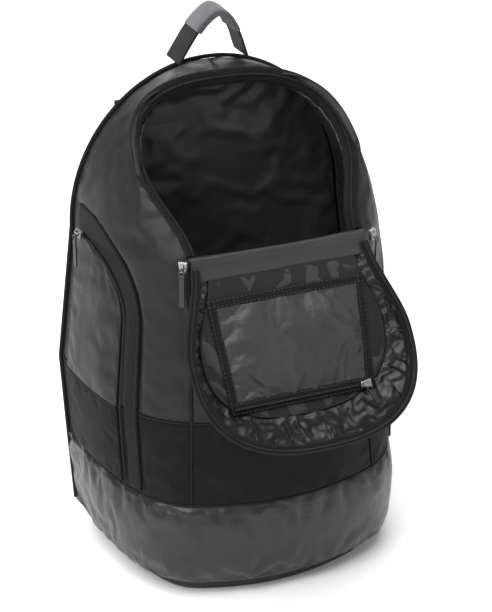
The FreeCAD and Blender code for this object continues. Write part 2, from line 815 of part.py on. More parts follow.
def fixed_pieces():
    write("base_tub", base_tub())
    write("base_board", base_board())
    write("bottom_band", plan_band(steps(BASE_TOP, BAND_SEAM_Z - SEAM, 5), 0.0, -WALL))
    low, high = BAND_SEAM_Z + SEAM, SIDE_SEAM_Z - SEAM
    write("mid_band_front", front_panel(steps(low, high, 4), 0.0, -WALL, FRONT_TRIM))
    write("front_panel", front_panel(steps(SIDE_SEAM_Z + SEAM, FRONT_TOP_Z, 6), 0.0, -WALL, FRONT_TRIM))
    lining = -WALL - LINING_GAP
    heights = steps(BASE_TOP + BOARD * 2.0, FRONT_TOP_Z - 1.0, 9)
    write("front_lining", front_panel(heights, lining, lining - SKIN, LINING_TRIM))
    write("back_panel", back_sheet(PANEL_INSET, BACK_Y + SEAM, BACK_Y + SEAM + PANEL_T))
    write("back_board", back_sheet(WALL + 2.5, BACK_Y - 4.0, BACK_Y - 0.3))
    write("back_lining", back_sheet(WALL + 2.5, BACK_Y - 5.4, BACK_Y - 4.6))
    write("back_piping", back_piping())
    write("lumbar_pad", lumbar_pad())
    write("strap_yoke", strap_yoke())
    write("main_zip_tape", rim_sweep(*RIM_TAPE))
    write("main_zip_teeth", rim_teeth())
    feet = handle_foot(-1.0).fuse(handle_foot(1.0))
    write("handle_feet", feet)
    for name, side in SIDES:
        write("mid_band_" + name, side_band(side, steps(low, high, 4), 0.0, -WALL))
        write("side_panel_" + name, upper_side_panel(side, 0.0, -WALL, 0.004, 1.0))
        side_lining = -WALL - SIDE_LINING_GAP
        lining = upper_side_panel(side, side_lining, side_lining - SKIN, 0.06, 0.96, LINING_END)
        write("side_lining_" + name, lining)
        write("pocket_welt_" + name, pocket_welt(side))
        write("pocket_teeth_" + name, pocket_teeth(side))
        write("back_pad_" + name, back_pad(side))
        write("lower_webbing_" + name, lower_webbing(side))
        write("strap_wing_" + name, strap_wing(side))


def rim_teeth():
    return tube_along([rim_offset(t, side, *RIM_TEETH) for t, side in round_rim(0.012, 22)], TEETH_R)


def flap_teeth():
    lift, inset = FLAP_TEETH
    return tube_along([flap_edge(t, side, lift, -inset) for t, side in round_rim(0.07, 20)], TEETH_R)


def flap_pieces():
    write("flap_panel", flap_sheet(0.0, FLAP_PANEL))
    write("flap_wall", flap_wall())
    write("flap_lining", flap_sheet(-SKIN - SEAM, SKIN, 1.0))
    low, high, inner, outer = FLAP_TAPE
    write("flap_zip_tape", flap_ribbon(low, high, -inner, -outer))
    write("flap_zip_teeth", flap_teeth())
    top = 1.0 + SKIN
    write("pocket_cloth", floor_plate(pocket_corners(POCKET_TAPE - 2.0), top + 0.6, top + 1.4))
    write("pocket_frame", pocket_frame(top + 1.5, top + 2.3))
    write("pocket_zip_teeth", floor_plate(pocket_zip_corners(1.6), top + 2.4, top + 3.6))
    for name, shape in pocket_zip_hardware():
        write(name, shape)


def pocket_zip_along():
    return POCKET_END - POCKET_TAPE / 2.0


def pocket_zip_corners(half):
    along = pocket_zip_along()
    wide = pocket_half(along) - 3.0
    return [(-wide, along - half), (wide, along - half), (wide, along + half), (-wide, along + half)]


POCKET_SLIDER_X = 62.0
POCKET_PULLER = 24.0
PULLER_TILT_DEG = 50.0   # the puller lies on the gusset, which rises from the flap's panel


def pocket_zip_hardware():
    base = 1.0 + SKIN + 4.0
    origin = on_floor(POCKET_SLIDER_X, pocket_zip_along(), base)
    down = on_floor(0.0, 1.0, 0.0) - on_floor(0.0, 0.0, 0.0)
    slider = oriented(slider_block(), origin, X_DIR * 1.0, down * -1.0)
    tilt = math.radians(PULLER_TILT_DEG)
    hanging = on_floor(0.0, math.cos(tilt), math.sin(tilt)) - on_floor(0.0, 0.0, 0.0)
    hang = on_floor(POCKET_SLIDER_X, pocket_zip_along() + 3.0, base + SLIDER[2] + SLIDER_EYE)
    puller = oriented(puller_tab(POCKET_PULLER), hang, X_DIR * 1.0, hanging * -1.0)
    return [("pocket_slider", slider), ("pocket_puller", puller)]


MAIN_SLIDER = Vector(94.5, -98.5, 357.5)
MAIN_PULLER = 38.0


def main_zip_hardware(side):
    """Slider of the main zip, parked beside the end of the hinge line."""
    out = Vector(0.6 * side, -0.8, 0.0)
    up = Vector(0.0, 0.0, 1.0)
    origin = Vector(MAIN_SLIDER.x * side, MAIN_SLIDER.y, MAIN_SLIDER.z)
    slider = oriented(slider_block(), origin, up, out.cross(up))
    top = origin + out * (SLIDER[2] + SLIDER_EYE)
    puller = oriented(puller_tab(MAIN_PULLER), top, up.cross(out), up)
    return slider, puller


SIDE_SLIDER_Z = 345.4
SIDE_SLIDER_Q = 0.13
SIDE_SLIDER_OUT = 6.0
SIDE_PULLER = 34.0


def side_zip_hardware(side):
    """Slider of a side pocket, at the high rear end of its zip."""
    place = wall_at(SIDE_SLIDER_Z, SIDE_SLIDER_Q, SIDE_SLIDER_OUT)
    origin = Vector(place.x * side, place.y, place.z)
    out = Vector(side * 0.985, -0.17, 0.0)
    travel = Vector(side * -0.10, -0.97, -0.226)
    slider = oriented(slider_block(), origin, travel, out.cross(travel))
    up = Vector(0.0, 0.0, 1.0)
    top = origin + out * (SLIDER[2] + SLIDER_EYE)
    puller = oriented(puller_tab(SIDE_PULLER), top, out.cross(up) * -1.0, up)
    return slider, puller


def moving_pieces():
    for name, side in SIDES:
        write("door_upper_" + name, door_part(side, SIDE_SEAM_Z + SEAM, 341.0))
        write("door_lower_" + name, door_part(side, DOOR_LOW_Z, SIDE_SEAM_Z - SEAM))
        slider, puller = main_zip_hardware(side)
        write("main_slider_" + name, slider)
        write("main_puller_" + name, puller)
        slider, puller = side_zip_hardware(side)
        write("side_slider_" + name, slider)
        write("side_puller_" + name, puller)
        write("shoulder_strap_" + name, shoulder_strap(side))
        write("ladder_lock_" + name, ladder_lock(side))
    write("handle_webbing", handle_strip(0.0, 1.0, 0.0, 2.0, HANDLE_W / 2.0, 17))
    write("handle_wrap", handle_strip(0.24, 0.8, 2.2, 3.4, HANDLE_W / 2.0 + 1.0, 13))


def main():
    os.makedirs("parts", exist_ok=True)
    fixed_pieces()
    flap_pieces()
    moving_pieces()


main()
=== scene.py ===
import json
import math
import bpy
import numpy as np
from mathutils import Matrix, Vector, noise


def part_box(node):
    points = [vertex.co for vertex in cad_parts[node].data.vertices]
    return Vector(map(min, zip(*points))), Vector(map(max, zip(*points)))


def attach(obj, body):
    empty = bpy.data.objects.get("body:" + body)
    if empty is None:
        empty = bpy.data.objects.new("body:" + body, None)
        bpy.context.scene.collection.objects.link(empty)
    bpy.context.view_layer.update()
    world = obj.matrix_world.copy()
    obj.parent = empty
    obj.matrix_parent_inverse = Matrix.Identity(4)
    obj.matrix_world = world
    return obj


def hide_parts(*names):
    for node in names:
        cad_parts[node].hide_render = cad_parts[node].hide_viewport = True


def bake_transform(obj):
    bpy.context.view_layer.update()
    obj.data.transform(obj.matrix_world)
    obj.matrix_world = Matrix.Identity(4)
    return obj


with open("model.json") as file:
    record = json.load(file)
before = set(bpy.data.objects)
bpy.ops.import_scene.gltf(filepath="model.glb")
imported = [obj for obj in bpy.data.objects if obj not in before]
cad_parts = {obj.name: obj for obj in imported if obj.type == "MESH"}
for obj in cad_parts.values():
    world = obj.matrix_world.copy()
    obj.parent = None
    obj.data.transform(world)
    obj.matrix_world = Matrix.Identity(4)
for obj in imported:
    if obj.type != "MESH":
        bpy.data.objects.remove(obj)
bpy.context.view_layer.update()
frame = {"nodes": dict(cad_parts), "record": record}
JOINTS = {joint["name"]: joint for joint in frame["record"]["behaviour"]["joints"]}

# Racket backpack in metres: Z up, front towards -Y, origin on the floor under the base.

# ---- driving dimensions
MM = 0.001
PIVOT = JOINTS["flap_hinge"]["pos_m"]
HINGE_Z = PIVOT[2]
PIVOT_Y = PIVOT[1]
BACK_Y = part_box("back_panel")[0][1] - 0.2 * MM
BAND_LOW_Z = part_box("bottom_band")[0][2]
BAND_SEAM_Z = 110 * MM
SIDE_SEAM_Z = 195 * MM
ARCH_SPRING_Z = 336 * MM
ARCH_TOP_Z = 490 * MM
ARCH_HALF = 144 * MM
# height, half-width of the back edge, seam x, seam y, crown of the front between the seams
LEVELS = np.array([
    (20, 153, 97, -113, 21),
    (110, 158, 97, -115, 22),
    (195, 162, 92, -106, 19),
    (336, 144, 87.8, -95.0, 6.5),
    (361, 144, 87, -93, 4),
]) * MM
CORNER = 0.62
SEAM_SLOPE = 0.5
RIM_START_Y, RIM_TOP_Y, RIM_TOP_Z = -93 * MM, 49 * MM, 486.5 * MM
RIM_START_HALF, RIM_HALF, RIM_POWER, RIM_BULGE = 88 * MM, 111 * MM, 2.55, 4 * MM
FLAP_OPEN = math.radians(231.5)
FLAP_FLOOR = math.radians(13.0)
FLAP_FLOOR_LENGTH, FLAP_FLOOR_HALF, FLAP_START, FLAP_LIFT = 153 * MM, 93 * MM, 14 * MM, 2 * MM
WALL = 3 * MM
SIDES = (("left", -1.0), ("right", 1.0))


# ---- the bag's surface, as arrays of points
def level(z, column):
    return np.interp(z, LEVELS[:, 0], LEVELS[:, column])


def points(*parts):
    return np.stack(np.broadcast_arrays(*parts), axis=-1).astype(float)


def half_width(z):
    share = np.clip((z - ARCH_SPRING_Z) / (ARCH_TOP_Z - ARCH_SPRING_Z), 0, 1)
    return np.where(z <= ARCH_SPRING_Z, level(z, 1), ARCH_HALF * np.sqrt(1 - share ** 2))


def seam_point(z):
    return points(level(z, 2), level(z, 3), z)


def rear_point(z):
    return points(half_width(z), BACK_Y, z)


def wall(rear, front, q):
    """Side wall between a back-edge point and a front-edge point; q is 0 at the back, 1 at the front."""
    across = (rear - front) * (1, 0, 1)
    depth = rear[..., 1:2] - front[..., 1:2]
    length = np.linalg.norm(across, axis=-1, keepdims=True)
    rise = np.minimum(SEAM_SLOPE * CORNER * length, 0.5 * depth)
    y = np.array([0.0, 1.0, 0.0])
    a = rear - y * CORNER * depth
    b = front + across * CORNER + y * rise
    q = q[..., None]
    p = 1 - q
    return rear * p ** 3 + a * 3 * q * p * p + b * 3 * q * q * p + front * q ** 3


def rim(t, lift=0.0):
    """Right half of the opening's rim, t = 0 at the hinge and 1 at the top centre."""
    t = np.asarray(t, float)
    s = np.clip(t / 0.5, 0, 1)
    low = RIM_START_HALF + (RIM_HALF - RIM_START_HALF) * s * s * (3 - 2 * s)
    turn = np.clip((t - 0.5) / 0.5, 0, 1) * math.pi / 2
    high = RIM_HALF * np.clip(np.cos(turn), 0, None) ** (2 / RIM_POWER)
    along = np.where(t < 0.5, t, 0.5 + 0.5 * np.sin(turn) ** (2 / RIM_POWER))
    dy, dz = RIM_TOP_Y - RIM_START_Y, RIM_TOP_Z - HINGE_Z
    chord = math.hypot(dy, dz)
    up = RIM_BULGE * 4 * along * (1 - along) + lift
    half = np.where(t < 0.5, low, high)
    return points(half, RIM_START_Y + dy * along - dz / chord * up, HINGE_Z + dz * along + dy / chord * up)


ARCH_LENGTH = math.pi / 2 * math.sqrt(((ARCH_TOP_Z - ARCH_SPRING_Z) ** 2 + ARCH_HALF ** 2) / 2)
EDGE_LENGTH = ARCH_SPRING_Z - SIDE_SEAM_Z + ARCH_LENGTH
PANEL_SPLIT = (HINGE_Z - SIDE_SEAM_Z) / (HINGE_Z - SIDE_SEAM_Z + 273 * MM)


def back_edge(length):
    straight = ARCH_SPRING_Z - SIDE_SEAM_Z
    z = SIDE_SEAM_Z + length
    turn = np.clip((length - straight) / ARCH_LENGTH, 0, 1) * math.pi / 2
    rise = ARCH_TOP_Z - ARCH_SPRING_Z
    x = np.where(length <= straight, level(z, 1), ARCH_HALF * np.cos(turn))
    return points(x, BACK_Y, np.where(length <= straight, z, ARCH_SPRING_Z + rise * np.sin(turn)))


def shoulder(p, q):
    """Upper side panel: p runs from the side seam to the top centre, q from the back edge to the rim."""
    low = seam_point(SIDE_SEAM_Z + (HINGE_Z - SIDE_SEAM_Z) * p / PANEL_SPLIT)
    high = rim((p - PANEL_SPLIT) / (1 - PANEL_SPLIT))
    front = np.where((p <= PANEL_SPLIT)[..., None], low, high)
    return wall(back_edge(p * EDGE_LENGTH), front, q)


def side_wall(z, q):
    return wall(rear_point(z), seam_point(z), q)


def front_wall(z, share):
    """Front between the seams; share runs from -1 at the left seam to 1 at the right one."""
    x = level(z, 2) * share
    return points(x, level(z, 3) - level(z, 4) * (1 - share ** 2), z)


def plan_wall(z, s):
    """The whole way round at height z: s from -1 at the left back edge to 1 at the right one."""
    turn = 0.30          # share of s that the front takes on each side
    share = np.clip(s / turn, -1, 1)
    q = np.clip((1 - np.abs(s)) / (1 - turn), 0, 1)
    side = side_wall(z, q) * np.where(s < 0, -1.0, 1.0)[..., None] ** np.array([1, 0, 0])
    return np.where((np.abs(s) < turn)[..., None], front_wall(z, share), side)


def mirrored(p, side):
    return p * np.array([side, 1.0, 1.0])


def flap_place(x, along, above):
    """Point of the open flap, along its chord from the pivot and above its lining side."""
    c, s = math.cos(FLAP_OPEN), math.sin(FLAP_OPEN)
    return points(x, PIVOT_Y + along * c - above * s, HINGE_Z + along * s + above * c)


FLAP_CHORD = math.atan2(RIM_TOP_Z - HINGE_Z, RIM_TOP_Y - PIVOT_Y)
FLAP_LENGTH = math.hypot(RIM_TOP_Y - PIVOT_Y, RIM_TOP_Z - HINGE_Z)


def chord_frame(t):
    """The rim's half-width, and its place along and above the closed flap's chord."""
    r = rim(t)
    dy, dz = r[..., 1] - PIVOT_Y, r[..., 2] - HINGE_Z
    c, s = math.cos(FLAP_CHORD), math.sin(FLAP_CHORD)
    return r[..., 0], dy * c + dz * s, -dy * s + dz * c


def round_rim(first, count):
    """Stations from the left end over the top to the right end, as t and side."""
    t = np.linspace(first, 1, count)
    return np.concatenate([t, t[-2::-1]]), np.concatenate([-np.ones(count), np.ones(count - 1)])


def flap_edge(t, side, lift=0.0):
    half, along, above = chord_frame(t)
    return flap_place(side * half, along, above + FLAP_LIFT + lift)


def flap_foot(t, side, lift=0.0):
    """Outline of the flap's flat panel."""
    half, along, _ = chord_frame(t)
    along = FLAP_START + (FLAP_FLOOR_LENGTH - FLAP_START) * np.clip(along / FLAP_LENGTH, 0, None)
    above = along * math.tan(FLAP_FLOOR) + FLAP_LIFT + lift
    return flap_place(side * half * FLAP_FLOOR_HALF / RIM_HALF, along, above)


def on_flap(x, along, depth):
    """Point over the flap's lining; depth is measured from the panel towards the inside."""
    c, s = math.cos(FLAP_FLOOR), math.sin(FLAP_FLOOR)
    return flap_place(x, along * c + depth * s, along * s - depth * c + FLAP_LIFT)


FLAP_INWARD = on_flap(0.0, 0.0, 1.0) - on_flap(0.0, 0.0, 0.0)


# ---- mesh tools
def normals(p):
    du = np.gradient(p, axis=0)
    dv = np.gradient(p, axis=1)
    n = np.cross(du, dv)
    return n / np.maximum(np.linalg.norm(n, axis=-1, keepdims=True), 1e-12)


def unit(v):
    return v / np.linalg.norm(v, axis=-1, keepdims=True)


def lengths(p, axis):
    """Distance along one axis of a grid, from its first row or column."""
    step = np.linalg.norm(np.diff(p, axis=axis), axis=-1)
    total = np.cumsum(step, axis=axis)
    pad = [(1, 0), (0, 0)] if axis == 0 else [(0, 0), (1, 0)]
    return np.pad(total, pad)


def run_length(path):
    """Distance along a path from its start, at each of its points."""
    return np.concatenate([[0], np.cumsum(np.linalg.norm(np.diff(path, axis=0), axis=1))])


def read_path(path, run, s):
    """Values of a path at distances s, its own points being at the distances run."""
    return np.stack([np.interp(s, run, path[:, k]) for k in range(3)], axis=1)


def edge_distance(p, sides="uUvV"):
    """Distance to the nearest of the named borders of a grid."""
    u, v = lengths(p, 0), lengths(p, 1)
    options = {"u": u, "U": u[-1:] - u, "v": v, "V": v[:, -1:] - v}
    return np.min([options[name] for name in sides], axis=0)


def rolled(p, out, depth, width, sides="uUvV"):
    """Turn the borders of a panel in towards its seams."""
    d = np.clip(edge_distance(p, sides) / width, 0, 1)
    return p - out * (depth * (1 - np.sqrt(1 - (1 - d) ** 2)))[..., None]


def ripple(p, size, seed, stretch=(1, 1, 1)):
    """Smooth noise between -1 and 1 at every point of a grid."""
    flat = (p * np.array(stretch) / size + seed * 7.31).reshape(-1, 3)
    values = np.array([noise.noise(Vector(v)) for v in flat])
    return values.reshape(p.shape[:-1])


def smooth_step(x):
    x = np.clip(x, 0, 1)
    return x * x * (3 - 2 * x)


def new_object(name, verts, faces, uvs=None, smooth=None):
    mesh = bpy.data.meshes.new(name)
    mesh.from_pydata([tuple(v) for v in verts], [], [tuple(int(i) for i in f) for f in faces])
    if uvs is not None:
        layer = mesh.uv_layers.new(name="cloth")
        index = np.empty(len(mesh.loops), dtype=np.int32)
        mesh.loops.foreach_get("vertex_index", index)
        layer.data.foreach_set("uv", np.asarray(uvs)[index].ravel())
    flags = np.ones(len(faces), dtype=bool) if smooth is None else smooth
    mesh.polygons.foreach_set("use_smooth", flags)
    mesh.update()
    obj = bpy.data.objects.new(name, mesh)
    bpy.context.scene.collection.objects.link(obj)
    return obj


def quads_of(index):
    """Faces between neighbouring rows and columns of vertex numbers."""
    corners = index[:-1, :-1], index[1:, :-1], index[1:, 1:], index[:-1, 1:]
    return np.stack(corners, axis=-1).reshape(-1, 4)


def shell(name, outer, thick, out):
    """Closed cloth panel: a grid of outer points and its copy moved in by the thickness."""
    rows, cols = outer.shape[:2]
    inner = outer - out * thick
    verts = np.concatenate([outer.reshape(-1, 3), inner.reshape(-1, 3)])
    index = np.arange(rows * cols).reshape(rows, cols)
    quads = quads_of(index)
    faces = np.concatenate([quads, quads[:, ::-1] + rows * cols])
    ring = np.concatenate([index[:, 0], index[-1, 1:], index[-2::-1, -1], index[0, -2:0:-1]])
    nxt = np.roll(ring, -1)
    border = np.stack([ring, ring + rows * cols, nxt + rows * cols, nxt], axis=-1)
    faces = np.concatenate([faces, border])
    normal_sign = np.sum(np.cross(outer[1, 0] - outer[0, 0], outer[0, 1] - outer[0, 0]) * out[0, 0])
    if normal_sign < 0:
        faces = faces[:, ::-1]
    uv = np.stack([lengths(outer, 1), lengths(outer, 0)], axis=-1).reshape(-1, 2)
    smooth = np.ones(len(faces), dtype=bool)
    smooth[-len(border):] = False
    return new_object(name, verts, faces, np.concatenate([uv, uv]), smooth)


def facing(p, away_from):
    """Unit normals of a grid, on the side away from a point."""
    n = normals(p)
    middle = p[p.shape[0] // 2, p.shape[1] // 2] - np.asarray(away_from)
    if np.dot(n[p.shape[0] // 2, p.shape[1] // 2], middle) < 0:
        n = -n
    return n


INSIDE = np.array([0.0, -0.01, 0.25])


def tube(name, path, radius, sides=10, closed=False):
    """Round cord along a path, its ends closed flat. radius may differ from point to point."""
    path = np.asarray(path, float)
    radius = np.broadcast_to(radius, len(path))
    tangent = unit(np.gradient(path, axis=0))
    up = np.array([0.0, 1.0, 0.0])
    verts = []
    for point, t, r in zip(path, tangent, radius):
        u = up - t * np.dot(up, t)
        if np.linalg.norm(u) < 0.2:
            u = np.array([1.0, 0.0, 0.0]) - t * t[0]
        u /= np.linalg.norm(u)
        v = np.cross(t, u)
        turn = np.arange(sides) * 2 * math.pi / sides
        verts.append(point + r * (np.cos(turn)[:, None] * u + np.sin(turn)[:, None] * v))
    verts = np.concatenate(verts)
    count = len(path)
    index = np.arange(count * sides).reshape(count, sides)
    nxt = np.roll(index, -1, axis=1)
    quads = np.stack([index[:-1], nxt[:-1], nxt[1:], index[1:]], axis=-1).reshape(-1, 4)
    faces = [list(f) for f in quads] + [list(index[0][::-1]), list(index[-1])]
    along = np.repeat(run_length(path), sides)
    around = np.tile(np.arange(sides) / sides, count) * radius.mean() * 6
    smooth = np.ones(len(faces), dtype=bool)
    smooth[-2:] = False
    return new_object(name, verts, faces, np.stack([around, along], axis=-1), smooth)


def finish_piece(obj, body, material, nodes=()):
    obj.data.materials.clear()
    obj.data.materials.append(material)
    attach(obj, body)
    if nodes:
        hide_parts(*nodes)
    return obj


# ---- materials
class Material:
    """Node graph of one finish, built up socket by socket."""

    def __init__(self, name, colour, roughness, metallic=0.0, sheen=0.0, specular=0.4, sheen_rough=0.5):
        self.material = bpy.data.materials.new(name)
        self.material.use_nodes = True
        self.tree = self.material.node_tree
        self.shader = self.tree.nodes["Principled BSDF"]
        self.colour = colour
        for socket, value in (
            ("Roughness", roughness),
            ("Metallic", metallic),
            ("Sheen Weight", sheen),
            ("Sheen Roughness", sheen_rough),
            ("Specular IOR Level", specular),
        ):
            self.shader.inputs[socket].default_value = value
        self.shader.inputs["Base Color"].default_value = (*colour, 1)
        coords = self.tree.nodes.new("ShaderNodeTexCoord")
        self.place = coords.outputs["Object"]
        self.uv = coords.outputs["UV"]
        self.heights = []

    def node(self, kind, inputs=(), **settings):
        made = self.tree.nodes.new("ShaderNode" + kind)
        for key, value in settings.items():
            setattr(made, key, value)
        for key, value in dict(inputs).items():
            if hasattr(value, "is_linked") and hasattr(value, "node"):
                self.tree.links.new(value, made.inputs[key])
            else:
                made.inputs[key].default_value = value
        return made

    def math(self, operation, a, b=0.0):
        return self.node("Math", {0: a, 1: b}, operation=operation).outputs[0]

    def noise(self, scale, detail=3.0, rough=0.5, at=None):
        inputs = {"Vector": at or self.place, "Scale": scale, "Detail": detail, "Roughness": rough}
        return self.node("TexNoise", inputs).outputs["Fac"]

    def bands(self, axis, pitch, at=None):
        """Sine along one axis of the UV map, -1 to 1, with its pitch in metres."""
        split = self.node("SeparateXYZ", {0: at or self.uv})
        return self.math("SINE", self.math("MULTIPLY", split.outputs[axis], 2 * math.pi / pitch))

    def height(self, value, amount):
        self.heights.append(self.math("MULTIPLY", value, amount))

    def shade(self, value, low, high, dark, light):
        """Colour from dark to light as value goes from low to high."""
        share = self.node("MapRange", {0: value, 1: low, 2: high, 3: 0.0, 4: 1.0}).outputs[0]
        a = tuple(c * dark for c in self.colour) + (1,)
        b = tuple(c * light for c in self.colour) + (1,)
        mixed = self.node("Mix", {0: share, 6: a, 7: b}, data_type="RGBA").outputs[2]
        self.tree.links.new(mixed, self.shader.inputs["Base Color"])
        return share

    def rough(self, value, low, high, smooth, coarse):
        made = self.node("MapRange", {0: value, 1: low, 2: high, 3: smooth, 4: coarse}).outputs[0]
        self.tree.links.new(made, self.shader.inputs["Roughness"])

    def done(self, strength=1.0):
        total = self.heights[0]
        for value in self.heights[1:]:
            total = self.math("ADD", total, value)
        bump = self.node("Bump", {"Strength": strength, "Distance": 1.0, "Height": total})
        self.tree.links.new(bump.outputs[0], self.shader.inputs["Normal"])
        return self.material


def grey(value, warm=0.0, blue=0.0):
    return (value * (1 + warm), value, value * (1 + blue))


def cloth(name, colour, pitch, weave, crease, roughness, sheen=0.25, specular=0.35, twill=False):
    """Woven cloth: crossed threads, soft creases and uneven colour, lighter on its raised spots; along the
    threads this is painted shade between them.
    """
    m = Material(name, colour, roughness, sheen=sheen, specular=specular)
    warp = m.bands(0, pitch)
    weft = m.bands(1, pitch)
    threads = m.math("MULTIPLY", warp, weft)
    if twill:
        split = m.node("SeparateXYZ", {0: m.uv})
        slant = m.math("ADD", split.outputs[0], split.outputs[1])
        threads = m.math("SINE", m.math("MULTIPLY", slant, 2 * math.pi / pitch))
    m.height(threads, weave)
    broad = m.noise(28.0, 4.0, 0.55)
    fine = m.noise(170.0, 3.0, 0.6)
    m.height(broad, crease)
    m.height(fine, crease * 0.16)
    blotch = m.math("ADD", m.math("MULTIPLY", m.noise(9.0, 2.0), 0.6), m.math("MULTIPLY", fine, 0.4))
    # Colour: random blotches plus the thread pattern, lighter on the raised threads: painted shade between
    # the threads.
    m.shade(m.math("ADD", blotch, m.math("MULTIPLY", threads, 0.05)), 0.34, 0.66, 0.82, 1.2)
    m.rough(broad, 0.35, 0.65, roughness - 0.07, roughness + 0.07)
    return m.done()


def ribbed(name, colour, pitch, depth, roughness, axis=1, cross=0.0, specular=0.3, sheen=0.2):
    """Grosgrain or webbing: ribs along one direction and a fine thread across them."""
    m = Material(name, colour, roughness, sheen=sheen, specular=specular)
    ribs = m.bands(axis, pitch)
    m.height(ribs, depth)
    if cross:
        m.height(m.math("MULTIPLY", m.bands(1 - axis, cross), ribs), depth * 0.5)
    wear = m.noise(120.0, 3.0, 0.6)
    m.height(wear, depth * 1.2)
    # Colour follows the random noise and the ribs, lighter on the rib crowns: painted shade in the grooves.
    mixed = m.math("ADD", wear, m.math("MULTIPLY", ribs, 0.06))
    m.shade(mixed, 0.3, 0.7, 0.7, 1.45)
    return m.done()


def knit(name, colour):
    """Heathered knitted sleeve."""
    m = Material(name, colour, 0.88, sheen=0.35, specular=0.2)
    loops = m.math("MULTIPLY", m.bands(0, 1.7 * MM), m.math("ABSOLUTE", m.bands(1, 3.6 * MM)))
    m.height(loops, 0.30 * MM)
    heather = m.noise(900.0, 2.0, 0.7)
    m.height(heather, 0.25 * MM)
    # Colour follows the heather and the loops, lighter on the loops: painted shade between them.
    m.shade(m.math("ADD", heather, m.math("MULTIPLY", loops, 0.10)), 0.32, 0.68, 0.45, 1.75)
    return m.done()


def moulded(name, colour, grain, roughness, specular=0.5):
    """Moulded plastic with a fine grain and rubbed places."""
    m = Material(name, colour, roughness, specular=specular)
    m.height(m.noise(1400.0, 2.0), grain)
    rub = m.noise(40.0, 4.0, 0.6)
    m.height(rub, grain)
    m.shade(rub, 0.3, 0.7, 0.8, 1.3)
    m.rough(rub, 0.35, 0.65, roughness - 0.08, roughness + 0.08)
    return m.done()


def metal(name, colour):
    m = Material(name, colour, 0.3, metallic=1.0)
    scuff = m.noise(700.0, 4.0, 0.65)
    m.height(scuff, 0.04 * MM)
    m.shade(scuff, 0.35, 0.65, 0.7, 1.15)
    m.rough(scuff, 0.3, 0.7, 0.22, 0.42)
    return m.done()


def spacer_mesh(name, colour):
    """Knitted air mesh: rows of small oval holes, with painted shade in them."""
    m = Material(name, colour, 0.85, sheen=0.2, specular=0.2)
    holes = m.math("MULTIPLY", m.bands(0, 6.4 * MM), m.bands(1, 5.2 * MM))
    deep = m.node("MapRange", {0: holes, 1: -0.6, 2: 0.15, 3: 0.0, 4: 1.0}).outputs[0]
    m.height(deep, 0.7 * MM)
    m.height(m.noise(1300.0, 2.0), 0.15 * MM)
    # The holes go down to a quarter of the colour: painted shade in the holes.
    m.shade(deep, 0.0, 1.0, 0.25, 1.25)
    return m.done()


COATED = cloth("coated_cloth", grey(0.0085), 0.9 * MM, 0.02 * MM, 0.9 * MM, 0.48, sheen=0.02, specular=0.22)
BAND = cloth("coated_band", grey(0.0085), 0.9 * MM, 0.02 * MM, 2.0 * MM, 0.36, sheen=0.01, specular=0.42)
WOVEN = cloth("woven_cloth", grey(0.0042), 1.6 * MM, 0.08 * MM, 0.8 * MM, 0.8, sheen=0.03, specular=0.16)
LINING = cloth("lining", grey(0.0165), 0.6 * MM, 0.012 * MM, 0.7 * MM, 0.45, sheen=0.08, twill=True)
# Lining cloth painted darker for the side lining inside the opening: painted shade.
HOOD_PAINTED_SHADE = cloth("lining_hood_painted_shade", grey(0.0062), 0.6 * MM, 0.012 * MM, 0.8 * MM, 0.4, sheen=0.03, twill=True)
# Lining cloth painted darker for the flap's wall: painted shade.
GUSSET_PAINTED_SHADE = cloth("lining_gusset_painted_shade", grey(0.006), 0.6 * MM, 0.012 * MM, 0.8 * MM, 0.4, sheen=0.03, twill=True)
POCKET = cloth("lining_pocket", grey(0.020), 0.6 * MM, 0.012 * MM, 1.2 * MM, 0.42, sheen=0.1, twill=True)
TAPE = ribbed("tape", grey(0.0035), 1.5 * MM, 0.16 * MM, 0.75, axis=0, cross=1.1 * MM, specular=0.15,
              sheen=0.03)
BINDING = ribbed("binding", grey(0.004), 1.3 * MM, 0.12 * MM, 0.72, axis=1, specular=0.2, sheen=0.03)
WEBBING = ribbed("webbing", grey(0.005), 2.2 * MM, 0.3 * MM, 0.7, cross=1.2 * MM, specular=0.2, sheen=0.04)
TEETH = moulded("zip_teeth", grey(0.006), 0.03 * MM, 0.35)
PLASTIC = moulded("base_plastic", grey(0.008), 0.10 * MM, 0.5)
BUCKLE = moulded("buckle", grey(0.006), 0.05 * MM, 0.45)
WRAP = knit("handle_wrap", (0.046, 0.043, 0.050))
METAL = metal("zip_metal", (0.30, 0.30, 0.31))
MESH = spacer_mesh("mesh", grey(0.010))
THREAD = ribbed("thread", grey(0.016), 0.8 * MM, 0.05 * MM, 0.7, axis=1)


